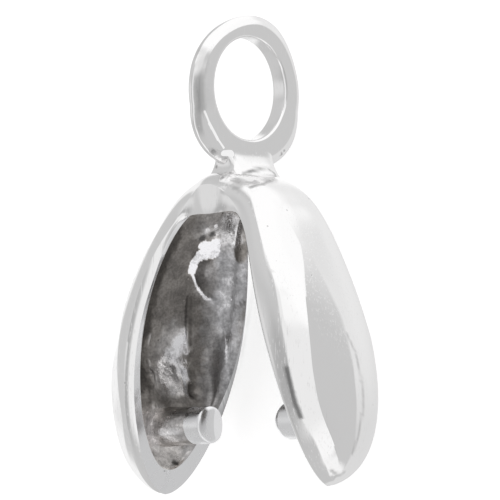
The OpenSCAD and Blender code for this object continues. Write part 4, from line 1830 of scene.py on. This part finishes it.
@dataclass
class Bail:
    """The whole pinch bail, one soldered piece of silver.

    Args:
        place: Where it lies.
        leaves: Its two leaves.
        ring: Its ring.
        neck: Its neck.
        pegs: Its pegs.
        grains: How uneven the leaves' skins are.
        sharp: Angle between two faces from which their edge is sharp, in degrees.
        wander: Size of the wandering of the tarnish's edges.
        seed: Seed of that.
        tarnish: Dark marks outside, whose tone is how dark they are; most are tarnish and solder
            marks, and the ring's shade is a painted reflection, the dark band on the ring's bevel.
        finishes: A material for each skin, in order.
    """

    place: Placement
    leaves: LeafBody = field(default_factory=LeafBody)
    ring: Ring = field(default_factory=Ring)
    neck: Neck = field(default_factory=Neck)
    pegs: Pegs = field(default_factory=Pegs)
    grains: tuple[Grain, ...] = (
        Grain(Skin.CAST, "cast", (0.5, 0.04), (0.1, 0.006), 0.5),
        Grain(Skin.POLISHED, "polished", (1.1, 0.012), (0.3, 0.001), 0.8),
    )
    sharp: float = 26.0
    wander: float = 0.1
    seed: float = 5.3
    tarnish: tuple[StainAndPaintedLight, ...] = (
        StainAndPaintedLight("dark streak", ((3.14, -1.68, -7.85), (3.19, -1.58, -8.3), (3.24, -1.47, -8.75),
                              (3.32, -1.36, -9.15)), 0.08, 0.68, 0.0, 1.1),
        # Painted reflection: the dark band that the ring's bevel reflects, laid in as darkening.
        StainAndPaintedLight("ring's shade", ((0.14, -1.77, 0.93), (0.2, -1.88, 0.6), (0.19, -1.98, 0.1),
                               (0.22, -1.92, -0.6)), 0.14, 0.22, 0.0, 1.6),
        StainAndPaintedLight("ridge line", ((3.64, 0.16, -6.86), (3.78, 0.32, -7.32), (3.98, 0.35, -8.01),
                             (4.07, 0.32, -8.42), (4.16, 0.23, -8.97), (4.18, 0.04, -9.58),
                             (4.06, -0.07, -10.12)), 0.045, 0.3, 0.0, 1.6, 0.6),
        StainAndPaintedLight("tip line", ((3.6, -0.42, -10.6), (3.62, -0.24, -10.7), (3.69, -0.04, -10.68)), 0.05,
              0.4, 0.0, 1.8),
        StainAndPaintedLight("far rim", ((-1.43, 1.6, -4.85), (-1.61, 1.75, -5.66), (-1.8, 1.77, -6.6),
                          (-1.9, 1.76, -7.0), (-2.1, 1.72, -7.8), (-2.25, 1.65, -8.4),
                          (-2.38, 1.5, -8.95)), 0.2, 0.5, 0.0, 0.8, 0.5),
        StainAndPaintedLight("solder's upper edge", ((0.63, -0.69, -2.38), (0.61, -0.31, -2.28),
                                      (0.56, 0.13, -2.21)), 0.05, 0.45, 0.0, 1.6, 0.6),
        StainAndPaintedLight("solder's lower edge", ((1.23, -1.06, -2.81), (1.28, -0.63, -2.71),
                                      (1.06, -0.08, -2.57)), 0.045, 0.5, 0.0, 1.6, 0.6),
        StainAndPaintedLight("solder's end", ((0.6, 0.4, -2.22), (0.66, 0.55, -2.34), (0.7, 0.5, -2.44)), 0.04, 0.4,
              0.0, 1.6, 0.6),
        StainAndPaintedLight("smudge", ((0.77, -1.16, -2.63), (0.94, -1.23, -2.78)), 0.13, 0.32, 0.0, 1.2, 0.6),
        StainAndPaintedLight("neck's first pit", ((-0.23, -0.86, -2.16),), 0.045, 0.5, 0.0, 1.0),
        StainAndPaintedLight("neck's second pit", ((-0.08, -0.86, -2.16),), 0.045, 0.5, 0.0, 1.0),
        StainAndPaintedLight("neck's third pit", ((0.21, -1.17, -2.41),), 0.05, 0.4, 0.0, 1.0),
        StainAndPaintedLight("ring's first pit", ((0.2, 1.28, -1.75),), 0.045, 0.5, 0.0, 1.2),
        StainAndPaintedLight("ring's second pit", ((0.22, 1.38, -1.64),), 0.04, 0.5, 0.0, 1.2),
    )

    finishes: list[bpy.types.Material] = field(init=False)

    def __post_init__(self) -> None:
        """Makes the finishes."""
        wear, filed = wear_group(), facet_group()
        self.finishes = [POLISHED_SILVER.material(wear, filed, self.place),
                         FILED_SILVER.material(wear, filed, self.place),
                         CastSilver().material(wear, self.place)]

    def build(self) -> bpy.types.Object:
        """Builds the pieces and solders them into one mesh.

        Returns:
            The bail.
        """
        lathe = Lathe(self.place, turned_part_tree())
        bail = self.leaves.build(self.place)
        self.dress(bail)
        skin = skin_tree()
        for grain in self.grains:
            apply_shape(bail, skin, {**grain.inputs(), "Material": self.finishes[grain.skin]})
        for part in (self.neck.build(self.place), self.ring.blank(lathe), *self.pegs.build(lathe)):
            self.dress(part)
            LOG.info("soldering %s on", part.name)
            combine(bail, part, Join.SOLDER)
        bore = self.ring.bore(lathe)
        self.dress(bore)
        combine(bail, bore, Join.DRILL)
        close_mesh(bail)
        move_corners(bail, np.clip(corners_of(bail), *CAD_BOX))
        bail.data.shade_smooth()
        bail.data.set_sharp_from_angle(angle=math.radians(self.sharp))
        self.paint(bail)
        return bail

    def paint(self, piece: bpy.types.Object) -> None:
        """Lays the stains, the painted shade and the painted highlights on the finished piece, as
        attributes that its materials read.

        Args:
            piece: The bail.
        """
        points = self.place.upright(corners_of(piece))
        wander = ruffle(points, self.wander, self.seed)
        found = self.leaves.skin.shade(points)
        dark = [mark.tone * mark.cover(points, wander) for mark in self.tarnish]
        found["tarnish"] = np.max(dark, axis=0)
        for name, values in found.items():
            attribute = piece.data.attributes.new(name, "FLOAT", "POINT")
            attribute.data.foreach_set("value", values.astype(np.float32))

    def dress(self, part: bpy.types.Object) -> None:
        """Gives a part the skins' materials and keeps its faces' skin numbers.

        Args:
            part: The part's object.
        """
        numbers = np.zeros(len(part.data.polygons), np.int32)
        part.data.polygons.foreach_get("material_index", numbers)
        part.data.materials.clear()
        for skin in self.finishes:
            part.data.materials.append(skin)
        part.data.polygons.foreach_set("material_index", numbers)


@dataclass(frozen=True)
class Panel:
    """A soft panel of the white tent round the bail, bright or shaded.

    Args:
        name: What hangs there.
        across: Its middle, in degrees round the upright bail from the camera towards its right.
        height: Its middle, in degrees above level.
        half_width: Half its width, in degrees.
        half_height: Half its height, in degrees.
        soft: Softness of its edges, in degrees.
        level: Its brightness.
        lean: Degrees that it moves to the right for each degree of height.
    """

    name: str
    across: float
    height: float
    half_width: float
    half_height: float
    soft: float
    level: float
    lean: float = 0.0


@dataclass
class Studio:
    """The floor, the light and the camera.

    Args:
        place: Where the bail lies.
        azimuth: Degrees round the upright bail from its front to the camera.
        elevation: The camera's degrees above level.
        roll: The picture's lean to the left, in degrees.
        width: Width of the view at the bail, in millimetres.
        centre: The view's middle, to the right of and above the ring's centre.
        distance: The camera's distance.
        sensor: Width of the camera's film, in millimetres.
        clip: Nearest and furthest distance that it sees, in metres.
        floor_half: Half the floor's width, in metres.
        floor_tone: The floor's own tone, and its roughness.
        floor_glow: How bright it glows, as it doesn't show in the metal.
        tent_level: Brightness of the tent between its panels.
        tent: The tent's panels, each one over those before it.
    """

    place: Placement
    azimuth: float = 43.35
    elevation: float = -3.56
    roll: float = 0.29
    width: float = 13.684
    centre: tuple[float, float] = (0.168, -4.409)
    distance: float = 450.0
    sensor: float = 36.0
    clip: tuple[float, float] = (0.01, 10.0)
    floor_half: float = 0.6
    floor_tone: float = 0.9
    floor_glow: float = 0.53
    tent_level: float = 0.57
    tent: tuple[Panel, ...] = (
        Panel("right wall", 75, -5, 40, 60, 25, 0.60),
        Panel("camera's shade", 18, 0, 12, 30, 8, 0.42),
        Panel("left shade", -64, -14, 16, 22, 10, 0.44),
        Panel("left upper wall", -70, 38, 25, 14, 8, 0.64),
        Panel("left wall", -112, 0, 22, 50, 8, 0.60),
        Panel("arch's light", -84, 0, 18, 12, 8, 0.74),
        Panel("left window", -162, -4, 28, 33, 7, 0.95),
        Panel("right window", 146, -20, 37, 40, 4, 0.74),
        Panel("right lamp", 153, 32, 36, 22, 12, 0.86),
        Panel("window behind", 178, 15, 12, 20, 8, 1.05),
        Panel("upper light", 8, 34, 30, 12, 6, 1.00),
        Panel("long light", -26, 6, 18, 42, 6, 0.88, 0.45),
        Panel("low light", -6, -46, 19, 16, 7, 1.00, 0.45),
        Panel("table", 42, -76, 85, 22, 6, 0.97),
        Panel("ceiling", 60, 72, 110, 31, 5, 1.06),
        Panel("ceiling's edge", 105, 44, 25, 10, 5, 1.04),
        Panel("lamp above", 0, 90, 180, 20, 10, 1.06),
    )

    def build(self) -> None:
        """Sets up the whole studio."""
        self.camera()
        self.floor()
        self.world()
        bpy.context.scene.view_settings.view_transform = "Standard"

    def axes(self) -> tuple[np.ndarray, np.ndarray, np.ndarray]:
        """Works out the camera's directions before its roll.

        Returns:
            Its right, up and back, upright.
        """
        az, el = math.radians(self.azimuth), math.radians(self.elevation)
        back = np.array([math.sin(az) * math.cos(el), -math.cos(az) * math.cos(el), math.sin(el)])
        right = np.array([math.cos(az), math.sin(az), 0])
        return right, np.cross(back, right), back

    def camera(self) -> None:
        """Puts the camera where the photograph was taken from."""
        right, up, back = self.axes()
        roll = math.radians(self.roll)
        right, up = (right * math.cos(roll) - up * math.sin(roll),
                     right * math.sin(roll) + up * math.cos(roll))
        middle = right * self.centre[0] + up * self.centre[1]
        lens = bpy.data.cameras.new("camera")
        lens.sensor_width = self.sensor
        lens.lens = self.sensor * self.distance / self.width
        lens.clip_start, lens.clip_end = self.clip
        made = bpy.data.objects.new("camera", lens)
        turn = Matrix(np.stack([self.place.direction(v) for v in (right, up, back)], 1).tolist())
        stand = Vector(self.place.point(middle + back * self.distance))
        made.matrix_world = Matrix.Translation(stand) @ turn.to_4x4()
        bpy.context.scene.collection.objects.link(made)
        bpy.context.scene.camera = made

    def floor(self) -> None:
        """Lays the pale floor."""
        corners = np.array([(-1, -1, 0), (1, -1, 0), (1, 1, 0), (-1, 1, 0)]) * self.floor_half
        made = mesh_object("floor", corners, [(0, 1, 2, 3)])
        paint, tree = start_material("floor")
        tree.surface(Base_Color=(*[self.floor_tone] * 3, 1), Roughness=self.floor_tone,
                     Emission_Color=(1, 1, 1, 1), Emission_Strength=self.floor_glow)
        made.data.materials.append(paint)
        made.visible_glossy = False

    def world(self) -> None:
        """Hangs the white tent round the bail, with its panels, and shows it white to the camera."""
        made = bpy.data.worlds.new("studio")
        made.use_nodes = True
        tree = Tree(made.node_tree)
        way = tree.node("ShaderNodeTexCoord").outputs["Generated"]
        right, up, back = (tree.vector("DOT_PRODUCT", way, tuple(self.place.direction(axis)))
                           for axis in self.axes())
        across = tree.maths("DEGREES", tree.maths("ARCTAN2", right, back))
        height = tree.maths("DEGREES", tree.maths("ARCSINE", up))
        level = self.tent_level
        for panel in self.tent:
            level = self._hang(tree, panel, across, height, level)
        light, plain = (tree.node("ShaderNodeBackground", Color=(1, 1, 1, 1),
                                  Strength=strength).outputs[0] for strength in (level, 1.0))
        seen = tree.node("ShaderNodeLightPath").outputs["Is Camera Ray"]
        both = tree.node("ShaderNodeMixShader", in_0=seen, in_1=light, in_2=plain)
        tree.node("ShaderNodeOutputWorld", Surface=both.outputs[0])
        made.cycles.sampling_method = "NONE"
        bpy.context.scene.world = made

    @staticmethod
    def _hang(tree: Tree, panel: Panel, across: bpy.types.NodeSocket, height: bpy.types.NodeSocket,
              level: object) -> bpy.types.NodeSocket:
        """Adds one panel to the tent.

        Args:
            tree: The tent's tree.
            panel: The panel.
            across: Degrees of the direction looked in, round from the camera.
            height: Its degrees above level.
            level: The tent's brightness before the panel.

        Returns:
            Its brightness with the panel.
        """
        leaning = tree.maths("MULTIPLY_ADD", height, -panel.lean, across)
        aside = tree.maths("WRAP", tree.maths("SUBTRACT", leaning, panel.across), 180.0, -180.0)
        above = tree.maths("SUBTRACT", height, panel.height)
        covers = [tree.ramp(tree.maths("ABSOLUTE", away), half + panel.soft, half - panel.soft)
                  for away, half in ((aside, panel.half_width), (above, panel.half_height))]
        share = tree.maths("MULTIPLY", *covers)
        change = tree.maths("SUBTRACT", panel.level, level)
        return tree.maths("MULTIPLY_ADD", share, change, level)


def main() -> None:
    """Builds the bail and the studio, in order."""
    logging.basicConfig(level=logging.INFO, format="%(name)s: %(message)s")
    place = Placement.from_mounts(frame["record"]["mounts"])
    piece = Bail(place).build()
    LOG.info("%s: %d faces", piece.name, len(piece.data.polygons))
    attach(piece, "root")
    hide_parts("pinch_bail")
    Studio(place).build()


if __name__ == "__main__":
    main()
